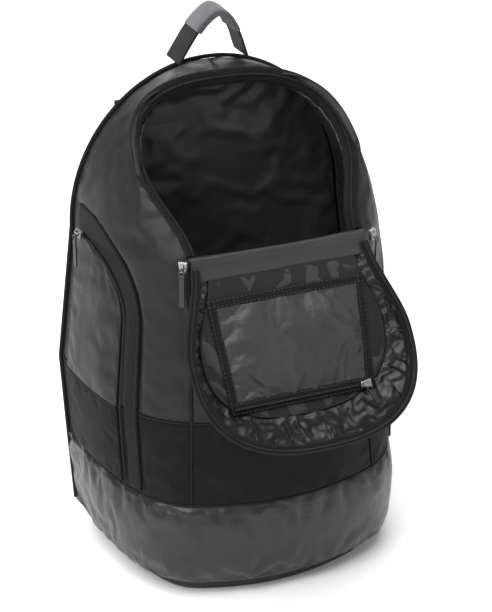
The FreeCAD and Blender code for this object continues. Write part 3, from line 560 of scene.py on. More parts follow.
# ---- cloth that settles between its seams
def settle(grid, held, grow, cap, bend=0.5, frames=20, seed=1):
    """A grid with a little more cloth than its frame; the simulation finds its folds."""
    nudge = ripple(grid, 14 * MM, seed) * 0.8 * MM
    start = grid + normals(grid) * nudge[..., None] * (1 - held)[..., None]
    rows, cols = grid.shape[:2]
    index = np.arange(rows * cols).reshape(rows, cols)
    obj = new_object("settling", start.reshape(-1, 3), quads_of(index))
    group = obj.vertex_groups.new(name="held")
    for i, weight in enumerate(held.ravel()):
        if weight > 0:
            group.add([i], float(weight), "REPLACE")
    modifier = obj.modifiers.new("cloth", "CLOTH")
    cloth_set = modifier.settings
    values = dict(
        vertex_group_mass="held",
        quality=6,
        mass=0.15,
        tension_stiffness=20,
        compression_stiffness=20,
        shear_stiffness=6,
        bending_stiffness=bend,
        air_damping=4,
        shrink_min=-grow,
    )
    for key, value in values.items():
        setattr(cloth_set, key, value)
    cloth_set.effector_weights.gravity = 0
    modifier.collision_settings.use_collision = False
    scene = bpy.context.scene
    for frame_number in range(1, frames + 1):
        scene.frame_set(frame_number)
    seen = obj.evaluated_get(bpy.context.evaluated_depsgraph_get())
    moved = np.empty(rows * cols * 3, dtype=np.float32)
    seen.data.vertices.foreach_get("co", moved)
    scene.frame_set(1)
    mesh = obj.data
    bpy.data.objects.remove(obj)
    bpy.data.meshes.remove(mesh)
    step = moved.reshape(grid.shape).astype(float) - grid
    size = np.linalg.norm(step, axis=-1, keepdims=True)
    return grid + step * (cap * np.tanh(size / cap) / np.maximum(size, 1e-9))


def border(shape, sides="uUvV", rings=1):
    held = np.zeros(shape)
    if "u" in sides:
        held[:rings] = 1
    if "U" in sides:
        held[-rings:] = 1
    if "v" in sides:
        held[:, :rings] = 1
    if "V" in sides:
        held[:, -rings:] = 1
    return held


def grid_of(first, second):
    return np.meshgrid(first, second, indexing="ij")


def eased(count, first=0.0, last=1.0, tight=0.35):
    """Stations from first to last, closer together near both ends."""
    x = np.linspace(0, 1, count)
    x = x - tight * np.sin(2 * math.pi * x) / (2 * math.pi)
    return first + (last - first) * x


def bulge(p, out, amount, sides="uUvV", reach=30 * MM):
    """Fill a panel out between its seams."""
    d = np.clip(edge_distance(p, sides) / reach, 0, 1)
    return p + out * (amount * np.sin(d * math.pi / 2))[..., None]


def panel(name, grid, body, material, nodes=(), thick=WALL, roll=(1.6 * MM, 5 * MM), fill=1.0 * MM,
          soft=None, sides="uUvV", away=INSIDE, out=None, under=None):
    """Sewn panel: filled out, settled, its borders rolled into the seams; it stays flat where under is 1."""
    out = facing(grid, away) if out is None else out
    p = bulge(grid, out, fill, sides)
    if soft:
        p = settle(p, border(p.shape[:2], sides, 2), **soft)
    if under is not None:
        p = p + (grid - p) * under[..., None]
    p = rolled(p, out, roll[0], roll[1], sides)
    return finish_piece(shell(name, p, thick, out), body, material, nodes)


# ---- outlines of the opening and of the flap
X_DIR = np.array([1.0, 0.0, 0.0])


def outline(curve, t, side, lift, inset):
    """Path along an arched outline, lifted off it and moved in from it in its own plane."""
    p = curve(t, side, lift)
    chord = curve(np.array([1.0]), 1.0, lift)[0] - curve(np.array([0.0]), 1.0, lift)[0]
    plane = np.cross(X_DIR, chord)
    plane /= np.linalg.norm(plane)
    tangent = unit(np.gradient(p, axis=0))
    out = np.cross(tangent, plane)
    if out[0, 0] * p[0, 0] < 0:
        out = -out
    return p - out * np.asarray(inset)[..., None]


def rim_curve(t, side, lift):
    return rim(t, lift) * points(side, 1.0, 1.0)


def ribbon(curve, t, side, profile):
    """Grid along an outline; profile is a list of (lift, inset) across it."""
    return np.stack([outline(curve, t, side, lift, inset) for lift, inset in profile], axis=1)


def even(curve, first, count):
    """Stations evenly spaced by length along a whole outline."""
    t, side = round_rim(first, 400)
    p = curve(t, side, 0.0)
    run = run_length(p)
    signed = np.concatenate([t[:400], 2 - t[400:]])
    picked = np.interp(np.linspace(0, run[-1], count), run, signed)
    return np.where(picked <= 1, picked, 2 - picked), np.where(picked <= 1, -1.0, 1.0)


def coil(name, path, radius, pitch, body, nodes=(), wire=0.45 * MM):
    """Coil zip chain: a close helix of plastic wire along the path."""
    path = np.asarray(path)
    run = run_length(path)
    turns = int(run[-1] / pitch)
    steps = 8
    s = np.linspace(0, run[-1], turns * steps)
    centre = read_path(path, run, s)
    tangent = unit(np.gradient(centre, axis=0))
    up = np.array([0.0, -0.4, 0.9])
    u = unit(np.cross(tangent, up))
    v = np.cross(u, tangent)
    turn = np.arange(len(s)) * 2 * math.pi / steps
    line = centre + u * (radius * 1.25 * np.cos(turn))[:, None] + v * (radius * 0.75 * np.sin(turn))[:, None]
    return finish_piece(tube(name, line, wire, 5), body, TEETH, nodes)


def stitches(name, path, out, body, length=2.6 * MM, gap=1.4 * MM, radius=0.28 * MM, material=None):
    """Row of short threads lying on the cloth."""
    path = np.asarray(path)
    run = run_length(path)
    count = int(run[-1] / (length + gap))
    verts, faces = [], []
    for i in range(count):
        s = (i + 0.5) * run[-1] / count + np.linspace(-0.5, 0.5, 4) * length
        p = read_path(path, run, s)
        n = read_path(out, run, s)
        t = p[-1] - p[0]
        t /= np.linalg.norm(t)
        side = np.cross(t, n[0])
        size = radius * np.array([0.3, 1.0, 1.0, 0.3])
        base = len(verts)
        for k in range(4):
            for a, b in ((1, 0), (0, 1), (-1, 0), (0, -0.6)):
                verts.append(p[k] + side * a * size[k] + n[k] * (b * size[k] + 0.15 * MM))
        for k in range(3):
            for j in range(4):
                a, b = base + 4 * k + j, base + 4 * k + (j + 1) % 4
                faces.append((a, b, b + 4, a + 4))
        faces.append(tuple(base + j for j in (3, 2, 1, 0)))
        faces.append(tuple(base + 12 + j for j in range(4)))
    obj = new_object(name, verts, faces)
    return finish_piece(obj, body, material or THREAD)


# ---- body panels
POCKET_BEND_Z, ZIP_TOP_Z, WELT_TOP_Z, DOOR_LOW_Z = 285 * MM, 346 * MM, 372 * MM, 116 * MM
ZIP_Q, WELT_Q, DOOR_HINGE_Q = 0.52, 0.63, 0.07
DOOR_GAP, WELT_GAP, WELT_LEAST = 0.036, 0.022, 0.03    # clear of the zip, as shares of the side


def rounded_over(z, q, top):
    """Place round the side of an edge that runs straight up and then curves over to the back."""
    rise = np.clip((z - POCKET_BEND_Z) / (top - POCKET_BEND_Z), 0, 1)
    return q * np.sqrt(1 - rise ** 2)


def zip_q(z):
    return rounded_over(z, ZIP_Q, ZIP_TOP_Z)


def under_pocket(z, q):
    """1 where the side pocket covers the side wall, 0 clear of it."""
    across = smooth_step((rounded_over(z, WELT_Q, WELT_TOP_Z) + 0.05 - q) / 0.05)
    return across * smooth_step((WELT_TOP_Z - z) / (8 * MM))


def body_panels():
    z, s = grid_of(eased(30, BAND_LOW_Z - 1.0 * MM, BAND_SEAM_Z), eased(230, -1, 1, 0.2))
    panel("bottom_band_cloth", plan_wall(z, s), "bag", BAND, ("bottom_band",), fill=4 * MM,
          sides="uU", roll=(3 * MM, 8 * MM), soft=dict(grow=0.032, cap=5 * MM, bend=1.0, seed=3))
    z, share = grid_of(eased(26, BAND_SEAM_Z, SIDE_SEAM_Z), eased(70, -1, 1))
    panel("mid_band_front_cloth", front_wall(z, share), "bag", WOVEN, ("mid_band_front",),
          fill=1.5 * MM, soft=dict(grow=0.02, cap=3 * MM, bend=1.5, seed=5))
    z, share = grid_of(eased(44, SIDE_SEAM_Z, HINGE_Z), eased(64, -1, 1))
    panel("front_panel_cloth", front_wall(z, share), "bag", COATED, ("front_panel",),
          fill=2 * MM, soft=dict(grow=0.012, cap=3 * MM, bend=2.0, seed=7))
    for name, side in SIDES:
        z, q = grid_of(eased(26, BAND_SEAM_Z, SIDE_SEAM_Z), eased(90, 0.0, 1))
        panel("mid_band_cloth_" + name, mirrored(side_wall(z, q), side), "bag", WOVEN,
              ("mid_band_" + name,), fill=1.2 * MM, soft=dict(grow=0.015, cap=2.5 * MM, bend=1.5, seed=9),
              under=under_pocket(z, q))
        p, q = grid_of(eased(100, 0.001, 1.0, 0.1), eased(70, 0.0, 1))
        grid = mirrored(shoulder(p, q), side)
        panel("side_panel_cloth_" + name, grid, "bag", COATED, ("side_panel_" + name,),
              fill=1.5 * MM, roll=(1.2 * MM, 4 * MM), sides="uvV", under=under_pocket(grid[..., 2], q),
              soft=dict(grow=0.008, cap=2.2 * MM, bend=3.0, seed=11))


def wall_strip(z, share, start, end, lift, side):
    """Grid lifted off the side wall between two edges, and its outward normals."""
    grid = mirrored(side_wall(z, start + (end - start) * share), side)
    out = facing(grid, INSIDE)
    return grid + out * lift, out


def side_pockets():
    door_lift, welt_lift, coil_lift, seam = 4.0 * MM, 3.4 * MM, 4.0 * MM, 0.4 * MM
    doors = (
        ("door_lower_", DOOR_LOW_Z, SIDE_SEAM_Z - seam, WOVEN, "woven_cloth", 13),
        ("door_upper_", SIDE_SEAM_Z + seam, 341 * MM, COATED, "coated_cloth", 15),
    )
    for name, side in SIDES:
        for node, low, high, material, slot, seed in doors:
            z, share = grid_of(eased(60, low, high), eased(60))
            grid, out = wall_strip(z, share, DOOR_HINGE_Q, zip_q(z) - DOOR_GAP, door_lift, side)
            panel(node + "cloth_" + name, grid, "door_" + name, material, (node + name,), thick=2 * MM,
                  fill=0.8 * MM, roll=(0.8 * MM, 3 * MM), out=out,
                  soft=dict(grow=0.006, cap=1.2 * MM, bend=2.0, seed=seed))
        z, share = grid_of(np.linspace(-0.1, 0.1, 3) * MM + SIDE_SEAM_Z, np.linspace(0.004, 0.996, 60))
        path, _ = wall_strip(z, share, DOOR_HINGE_Q, zip_q(z) - DOOR_GAP, door_lift - 1.0 * MM, side)
        finish_piece(tube("door_seam_piping_" + name, path[1], 1.3 * MM), "door_" + name, BINDING)
        z, share = grid_of(eased(130, DOOR_LOW_Z, 368 * MM), eased(16))
        start = np.maximum(zip_q(z) + WELT_GAP, DOOR_HINGE_Q)
        end = np.maximum(rounded_over(z, WELT_Q, WELT_TOP_Z), DOOR_HINGE_Q + WELT_LEAST)
        grid, out = wall_strip(z, share, start, end, welt_lift, side)
        panel("pocket_welt_cloth_" + name, grid, "bag", TAPE, ("pocket_welt_" + name,),
              thick=1.6 * MM, fill=0.3 * MM, roll=(0.5 * MM, 2 * MM), out=out)
        stitches("pocket_welt_stitch_" + name, grid[:, -4] + out[:, -4] * 0.2 * MM, out[:, -4], "bag")
        z, share = grid_of(np.linspace(DOOR_LOW_Z, ZIP_TOP_Z - 4 * MM, 120), np.linspace(-0.5, 0.5, 3))
        q = zip_q(z)
        path, _ = wall_strip(z, share, q - 0.004, q, coil_lift, side)
        coil("pocket_coil_" + name, path[:, 1], 1.0 * MM, 1.7 * MM, "bag", ("pocket_teeth_" + name,),
             wire=0.35 * MM)


def seam_piping():
    """Piped seams between the panels, and the welt round the back."""
    radius = 1.7 * MM
    for name, z in (("band_seam", BAND_SEAM_Z), ("side_seam", SIDE_SEAM_Z)):
        path = plan_wall(np.full(220, z), np.linspace(-1, 1, 220))
        out = unit(np.cross(np.gradient(path, axis=0), (0, 0, 1.0)))
        obj = tube(name + "_piping", path - out * 0.6 * MM, 1.2 * MM)
        finish_piece(obj, "bag", BINDING)
    for name, side in SIDES:
        z = np.linspace(BAND_SEAM_Z, HINGE_Z - 2 * MM, 90)
        path = mirrored(seam_point(z), side)
        finish_piece(tube("front_seam_piping_" + name, path, 1.2 * MM), "bag", BINDING)
    low = np.linspace(BAND_LOW_Z + 4 * MM, SIDE_SEAM_Z, 40)[:-1]
    high = back_edge(np.linspace(0, EDGE_LENGTH, 120))
    half = np.concatenate([rear_point(low), high])
    share = np.clip((half[:, 2] - ARCH_SPRING_Z) / (ARCH_TOP_Z - ARCH_SPRING_Z), 0, 1)
    half = half + points(radius + 0.2 * MM - share * radius, radius, 2.0 * MM * share)
    half[-1, 0] = 0
    path = np.concatenate([mirrored(half, -1), half[-2::-1]])
    finish_piece(tube("back_welt", path, radius + 0.4 * MM, 12), "bag", BINDING, ("back_piping",))


# ---- linings
def lining_wall(p, q):
    """Side lining, from just inside the back edge to the inner edge of the rim's tape."""
    rows = p[:, 0]
    rear = back_edge(rows * EDGE_LENGTH)
    centre = points(0 * rows, BACK_Y, np.minimum(rear[:, 2], ARCH_SPRING_Z))
    away = rear - centre
    rear = rear - away / np.linalg.norm(away, axis=1, keepdims=True) * 5 * MM
    t = np.clip((rows - PANEL_SPLIT) / (1 - PANEL_SPLIT), 0, 1)
    share = smooth_step(t / 0.08)
    inset = 4 * MM + 6.6 * MM * share
    high = outline(rim_curve, np.maximum(t, 0.001 * rows), 1.0, -11.5 * MM * share, inset)
    low = seam_point(SIDE_SEAM_Z + (HINGE_Z - SIDE_SEAM_Z) * np.minimum(rows / PANEL_SPLIT, 1))
    low = low + np.array([-3.0, 4.0, 0.0]) * MM
    front = low * (1 - share)[:, None] + high * share[:, None]
    front[-1, 0] = 0
    return wall(rear[:, None, :], front[:, None, :], q)


def linings():
    skin = 1.0 * MM
    z, share = grid_of(eased(36, BAND_LOW_Z + 8 * MM, HINGE_Z - 4 * MM), eased(30, -0.97, 0.97))
    grid = front_wall(z, share) + np.array([0, 4.6 * MM, 0])
    panel("front_lining_cloth", grid, "bag", LINING, ("front_lining",), thick=skin, fill=0.0,
          roll=(0.3 * MM, 1 * MM), away=(0, -1, 0.2), soft=dict(grow=0.02, cap=2 * MM, bend=0.5, seed=21))
    for name, side in SIDES:
        p, q = grid_of(eased(150, 0.0, 1.0, 0.1), eased(56, 0.02, 1.0))
        inner = mirrored(lining_wall(p, q), side)
        out = facing(inner, INSIDE)
        gap = edge_distance(inner, "V")
        held = border(p.shape, "uUvV", 2)
        seam = np.abs(gap - 15 * MM) < 1.6 * MM
        held = np.maximum(held, seam * (p > PANEL_SPLIT * 0.9))
        pucker = ripple(points(p * EDGE_LENGTH / (9 * MM), gap / (60 * MM), 0 * p) * 1.0, 1.0, 27)
        dip = np.abs(pucker) * 2.2 * MM * (1 - held) * smooth_step(gap / (8 * MM))
        inner = inner - out * dip[..., None]
        slack = settle(inner, held, grow=0.08, cap=6 * MM, bend=0.15, seed=23)
        shift = np.sum((slack - inner) * out, axis=-1, keepdims=True)
        slack = slack - out * np.maximum(shift, 0)
        # The side lining takes the darker lining copy: painted shade inside the opening.
        finish_piece(shell("side_lining_cloth_" + name, slack, skin, -out), "bag", HOOD_PAINTED_SHADE,
                     ("side_lining_" + name,))
    z, s = grid_of(eased(110, BAND_LOW_Z + 6 * MM, ARCH_TOP_Z - 6 * MM, 0.1), eased(70, -1, 1))
    half = half_width(z) - 7 * MM
    grid = points(s * half, BACK_Y - 5.4 * MM, z)
    slack = settle(grid, border(z.shape, "uUvV", 2), grow=0.035, cap=9 * MM, bend=0.8, seed=25)
    slack[..., 1] = np.minimum(slack[..., 1], BACK_Y - 4.4 * MM)
    obj = shell("back_lining_cloth", slack, skin, points(0.0 * z, -1.0, 0.0))
    finish_piece(obj, "bag", LINING, ("back_lining",))


# ---- the opening's zip
def rim_zip():
    t, side = even(rim_curve, 0.012, 260)
    lip = np.array([(-0.2, -0.6), (0.4, 0.4), (0.0, 2.2), (-1.2, 4.0), (-2.6, 7.0), (-4.5, 9.6), (-7, 10.6),
                    (-12, 10.4)]) * MM
    grid = ribbon(rim_curve, t, side, lip)
    centre = np.array([0, -0.02, 0.40])
    obj = shell("main_zip_tape_cloth", grid, 0.8 * MM, facing(grid, centre) * -1)
    finish_piece(obj, "bag", TAPE, ("main_zip_tape",))
    coil("main_zip_coil", outline(rim_curve, t, side, -1.2 * MM, 6.4 * MM), 1.0 * MM, 1.7 * MM, "bag",
         ("main_zip_teeth",), wire=0.35 * MM)
    edge = tube("rim_piping", outline(rim_curve, t, side, -0.2 * MM, -0.4 * MM), 1.0 * MM)
    finish_piece(edge, "bag", BINDING)


# ---- the flap
def flap_sheet(depth, count=(110, 70), reach=1.0):
    t, u = grid_of(np.linspace(0.02, 0.997, count[0]), eased(count[1], -reach, reach))
    edge = flap_foot(t, 1.0)
    middle = edge * np.array([0.0, 1.0, 1.0])
    grid = middle + X_DIR * (edge[..., 0] * u)[..., None]
    down = FLAP_INWARD
    return grid + down * depth, down


def flap_cloth():
    grid, inward = flap_sheet(0.0)
    out = np.broadcast_to(-inward, grid.shape)
    p = grid + out * 0.6 * MM
    obj = shell("flap_panel_cloth", rolled(p, out, 1 * MM, 4 * MM), 2.4 * MM, out)
    finish_piece(obj, "flap", COATED, ("flap_panel",))
    grid, inward = flap_sheet(1.4 * MM)
    out = np.broadcast_to(inward, grid.shape)
    soft = settle(grid, border(grid.shape[:2], "uUvV", 2), grow=0.012, cap=3 * MM, bend=1.5, seed=31)
    shift = np.sum((soft - grid) * out, axis=-1, keepdims=True)
    soft = soft + out * np.maximum(-shift, 0)
    obj = shell("flap_lining_cloth", soft, 0.9 * MM, out)
    finish_piece(obj, "flap", LINING, ("flap_lining",))


def flap_gusset():
    """Wrinkled wall between the flap's panel and its zip edge."""
    t, side = even(flap_edge, 0.03, 330)
    edge = flap_edge(t, side)
    foot = flap_foot(t, side)
    count = 22
    share = np.linspace(0, 1, count)[None, :, None]
    grid = edge[:, None, :] * (1 - share) + foot[:, None, :] * share
    out = facing(grid, grid.mean(axis=(0, 1)) + np.array([0, 0.05, 0.02]))
    reach = lengths(grid, 1)
    room = np.minimum(reach - 7 * MM, reach[:, -1:] - reach)
    belly = smooth_step(room / (7 * MM))
    run = lengths(grid, 0)[:, :1]
    flutes = points(run / (13 * MM), share[..., 0] * 1.2, 0.0)
    fold = np.array([noise.noise(Vector(v)) for v in flutes.reshape(-1, 3)]).reshape(flutes.shape[:2])
    crinkle = ripple(grid, 7 * MM, 41)
    p = grid + out * (0.8 * MM + belly * (np.abs(fold) * 6.5 + crinkle * 1.3 + 1.0) * MM)[..., None]
    held = np.maximum(border(p.shape[:2], "vV", 1), (reach < 7 * MM) * 1.0)
    p = settle(p, held, grow=0.08, cap=4 * MM, bend=0.12, seed=43)
    finish_piece(shell("flap_gusset_cloth", p, 1.0 * MM, out), "flap", GUSSET_PAINTED_SHADE, ("flap_wall",))


def flap_zip():
    t, side = even(flap_edge, 0.03, 260)
    lip = np.array([(1.4, 0.8), (0.6, -1.0), (-0.2, -0.4), (-0.6, 1.4), (-0.5, 3.4), (-0.3, 5.6),
                    (0.4, 7.2)]) * MM
    grid = ribbon(flap_edge, t, side, lip)
    centre = on_flap(0.0, 90 * MM, 40 * MM)
    obj = shell("flap_zip_tape_cloth", grid, 0.9 * MM, facing(grid, centre) * -1)
    finish_piece(obj, "flap", TAPE, ("flap_zip_tape",))
    coil("flap_zip_coil", outline(flap_edge, t, side, -1.3 * MM, 2.6 * MM), 1.0 * MM, 1.7 * MM, "flap",
         ("flap_zip_teeth",), wire=0.35 * MM)
    finish_piece(tube("flap_binding", outline(flap_edge, t, side, 0.4 * MM, -0.6 * MM), 1.2 * MM), "flap",
                 BINDING)


POCKET_TOP_HALF, POCKET_END_HALF = 80 * MM, 73 * MM
POCKET_START, POCKET_END, POCKET_TAPE = 38 * MM, 145 * MM, 8 * MM


def pocket_half(along):
    share = (along - POCKET_START) / (POCKET_END - POCKET_START)
    return POCKET_TOP_HALF + (POCKET_END_HALF - POCKET_TOP_HALF) * share


def tape_strip(name, a, b, width, depth, body="flap", material=None):
    """Flat tape between two places on the flap, a and b being (x, along)."""
    a, b = np.array(a), np.array(b)
    length = np.linalg.norm(b - a)
    along = (b - a) / length
    across = np.array([-along[1], along[0]])
    s, w = grid_of(np.linspace(0, length, int(length / (2 * MM)) + 2), np.linspace(-0.5, 0.5, 7) * width)
    place = a + s[..., None] * along + w[..., None] * across
    crown = 0.5 * MM * (1 - (2 * w / width) ** 4)
    wave = ripple(points(place[..., 0], place[..., 1], 0 * s), 22 * MM, 51) * 0.5 * MM
    grid = on_flap(place[..., 0], place[..., 1], depth + crown + wave)
    inward = FLAP_INWARD
    out = np.broadcast_to(inward, grid.shape)
    obj = finish_piece(shell(name, grid, 1.1 * MM, out), body, material or TAPE)
    for k, edge in ((0, 0.36), (1, -0.36)):
        place = a + s[:, :1] * along + edge * width * across
        line = on_flap(place[:, 0], place[:, 1], depth + 0.5 * MM + wave[:, 3])
        stitches(name + "_stitch_%d" % k, line, np.broadcast_to(inward, line.shape), body)
    return obj


def flap_pocket():
    half_tape = POCKET_TAPE / 2
    a, u = grid_of(eased(90, POCKET_START + 4 * MM, POCKET_END - 4 * MM), eased(120, -1, 1))
    x = u * (pocket_half(a) - 4 * MM)
    inset = np.minimum(np.minimum(a - POCKET_START, POCKET_END - a), pocket_half(a) - np.abs(x))
    loft = smooth_step((inset - 7 * MM) / (22 * MM))
    place = points(x, a, 0 * x)
    diagonal = place @ np.array([[0.8, 0.35, 0], [-0.6, 0.9, 0], [0, 0, 1]])
    folds = ripple(diagonal, 38 * MM, 61, (1.0, 0.35, 1))
    depth = 2.6 * MM + loft * (3.4 * MM + folds * 4.2 * MM + ripple(place, 16 * MM, 63) * 1.2 * MM)
    grid = on_flap(x, a, depth)
    held = np.maximum(border(grid.shape[:2], "uUvV", 1), (inset < 8 * MM) * 1.0)
    soft = settle(grid, held, grow=0.03, cap=4 * MM, bend=0.6, seed=65)
    inward = FLAP_INWARD
    out = np.broadcast_to(inward, grid.shape)
    low = on_flap(x, a, 2.4 * MM + 0 * x)
    dip = np.sum((soft - low) * out, axis=-1, keepdims=True)
    soft = soft + out * np.maximum(-dip, 0)
    obj = shell("pocket_bag_cloth", soft, 0.8 * MM, out)
    finish_piece(obj, "flap", POCKET, ("pocket_cloth",))
    depth = 3.6 * MM
    start, end = POCKET_START + half_tape, POCKET_END - half_tape
    top, low = pocket_half(start) - half_tape, pocket_half(end) - half_tape
    over, wide = half_tape, POCKET_TAPE + 4 * MM
    places = (
        ("pocket_tape_top", (-top - over, start), (top + over, start), POCKET_TAPE),
        ("pocket_tape_left", (-top, start - over), (-low, end), POCKET_TAPE),
        ("pocket_tape_right", (top, start - over), (low, end), POCKET_TAPE),
        ("pocket_zip_tape", (-low - over, end), (low + over, end), wide),
    )
    tapes = [tape_strip(name, a, b, width, depth) for name, a, b, width in places]
    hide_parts("pocket_frame")
    x = np.linspace(-low, low, 120)
    coil("pocket_zip_coil", on_flap(x, end, depth + 1.2 * MM), 1.2 * MM, 1.6 * MM, "flap",
         ("pocket_zip_teeth",))


def hinge_fold():
    """Cloth that runs from the front panel's top edge over onto the flap."""
    x = eased(90, -1, 1) * 88 * MM
    on_bag = [(-89.0, 346.0), (-90.5, 354.0), (-93.0, 360.2), (-96.4, 363.2), (-99.8, 362.2)]
    rows = []
    for y, z in on_bag:
        crown = 4 * MM * (1 - (x / (88 * MM)) ** 2)
        rows.append(points(x, y * MM - crown * 0.6, z * MM))
    for along, depth in ((6 * MM, 2.6 * MM), (12 * MM, 2.4 * MM), (20 * MM, 2.6 * MM)):
        rows.append(on_flap(x, along, depth + 0 * x))
    rows = np.array(rows)
    fine = np.linspace(0, len(rows) - 1, 40)
    low = np.floor(fine).astype(int).clip(0, len(rows) - 2)
    share = (fine - low)[:, None, None]
    grid = rows[low] * (1 - share) + rows[low + 1] * share
    for _ in range(4):
        grid[1:-1] = 0.25 * grid[:-2] + 0.5 * grid[1:-1] + 0.25 * grid[2:]
    wave = ripple(grid, 26 * MM, 71) * 0.8 * MM
    out = facing(grid, (0, -0.12, 0.30))
    grid = grid + out * wave[..., None]
    obj = shell("hinge_cloth", grid, 1.4 * MM, out)
    obj.data.materials.append(LINING)
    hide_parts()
    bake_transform(obj)


# ---- handle
def handle_loop():
    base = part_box("handle_webbing")
    low, high = base[0], base[1]
    y0 = JOINTS["handle_swing"]["pos_m"][1]
    half, skew, power, lean = 35 * MM, 4 * MM, 1.7, -9 * MM
    z0, z1 = low[2] + 0.6 * MM, high[2] - 1.0 * MM

    def path(t):
        rise = 1 - np.abs(2 * t - 1) ** power
        x = half * (2 * t - 1) + skew * np.sin(math.pi * t)
        return points(x, y0 + lean * rise, z0 + (z1 - z0) * rise)

    def strip(name, first, last, width, lift, thick, material, node, pad=0.0):
        t, w = grid_of(np.linspace(first, last, 110), np.linspace(-1, 1, 23))
        centre = path(t)
        tangent = unit(np.gradient(centre, axis=0))
        across = np.array([0.0, 1.0, 0.0])
        out = unit(np.cross(tangent, across))
        if out[55, 11, 2] < 0:
            out = -out
        ends = np.clip(np.minimum(t - first, last - t) / 0.02, 0, 1)
        soft = pad * np.sqrt(np.clip(1 - np.abs(w) ** 3, 0, 1)) * (0.35 + 0.65 * ends)
        wave = ripple(centre + across * (w * width)[..., None], 20 * MM, 81) * 0.5 * MM
        outer = centre + across * (w * width)[..., None] + out * (lift + soft + wave)[..., None]
        finish_piece(shell(name, outer, thick + pad, out), "handle", material, (node,))

    strip("handle_strap", 0.0, 1.0, 17 * MM, 1.8 * MM, 2.0 * MM, WEBBING, "handle_webbing")
    strip("handle_sleeve", 0.22, 0.80, 18 * MM, 2.4 * MM, 3.0 * MM, WRAP, "handle_wrap",
          pad=1.6 * MM)


# ---- back: panel, pads, straps
def back_parts():
    y = BACK_Y + 2.8 * MM
    z, s = grid_of(eased(120, BAND_LOW_Z + 0.5 * MM, ARCH_TOP_Z - 0.5 * MM, 0.1), eased(80, -1, 1, 0.2))
    grid = points(s * half_width(z), y + 0.4 * MM, z)
    panel("back_panel_cloth", grid, "bag", WOVEN, ("back_panel",), thick=2.6 * MM,
          fill=0.6 * MM, roll=(1.4 * MM, 4 * MM), out=points(0 * z, 1.0, 0.0))
    for node, lines in (("back_pad_left", 3), ("back_pad_right", 3), ("lumbar_pad", 2)):
        padded_block(node, lines)


def sewn_patch(name, low, high, box, material, nodes):
    """Reinforcement sewn flat on the back; low and high are its x-ranges at the bottom and the top."""
    crown = 0.5 * MM
    a, b = grid_of(eased(24), eased(60))
    start = low[0] + (high[0] - low[0]) * a
    end = low[1] + (high[1] - low[1]) * a
    grid = points(start + (end - start) * b, box[1][1] - crown, box[0][2] + (box[1][2] - box[0][2]) * a)
    out = points(0 * a, 1.0, 0.0)
    panel(name, grid, "bag", material, nodes, thick=box[1][1] - box[0][1] - crown, fill=crown,
          roll=(crown, 2 * MM), out=out)
    for k, row in ((0, 4), (1, -5)):
        stitches(name + "_stitch_%d" % k, grid[row, 2:-2] + out[row, 2:-2] * crown, out[row, 2:-2], "bag")


def patches():
    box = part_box("strap_yoke")
    across = (box[0][0], box[1][0])
    sewn_patch("strap_yoke_cloth", across, across, box, WEBBING, ("strap_yoke",))
    for name, side in SIDES:
        low = sorted((side * 100 * MM, side * 148 * MM))
        high = sorted((side * 104 * MM, side * 136 * MM))
        sewn_patch("strap_wing_cloth_" + name, low, high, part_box("strap_wing_" + name), WOVEN,
                   ("strap_wing_" + name,))
        foot = (side * 35 * MM - 13 * MM, side * 35 * MM + 13 * MM)
        sewn_patch("handle_foot_cloth_" + name, foot, foot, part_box("handle_feet"), WEBBING,
                   ("handle_feet",) if side < 0 else ())


def padded_block(node, lines):
    """Mesh-covered foam pad with stitched channels."""
    low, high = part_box(node)
    x0, x1, z0, z1 = low[0], high[0], low[2], high[2]
    a, b = grid_of(eased(90, -1, 1, 0.2), eased(70, -1, 1, 0.2))
    corner = 0.24
    short = min(x1 - x0, z1 - z0)
    r = corner * short
    wide, tall = (x1 - x0) / 2, (z1 - z0) / 2
    cut = np.clip((np.abs(a) * tall - (tall - r)) / r, 0, 1)
    x = (x0 + x1) / 2 + b * (wide - r * (1 - np.sqrt(1 - cut ** 2)))
    z = (z0 + z1) / 2 + a * tall
    d = np.clip(np.minimum(np.minimum(z - z0, z1 - z), (1 - np.abs(b)) * wide) / (12 * MM), 0, 1)
    crown = np.sqrt(1 - (1 - d) ** 2)
    channel = np.zeros_like(z)
    for k in range(1, lines + 1):
        mid = z0 + (z1 - z0) * k / (lines + 1)
        channel = np.maximum(channel, np.exp(-((z - mid) / (3.2 * MM)) ** 2))
    depth = (high[1] - low[1] + 1.5 * MM) * crown * (1 - 0.45 * channel * d)
    grid = points(x, low[1] + depth, z)
    out = points(0 * x, 1.0, 0.0)
    thick = np.maximum(grid[..., 1] - low[1], 0.1 * MM)
    obj = closed(node + "_foam", grid, grid - out * thick[..., None])
    finish_piece(obj, "bag", MESH, (node,))


def closed(name, outer, inner):
    """Closed piece between two grids of the same size."""
    gap = np.linalg.norm(outer - inner, axis=-1, keepdims=True)
    out = (outer - inner) / np.maximum(gap, 1e-9)
    return shell(name, outer, gap, out)


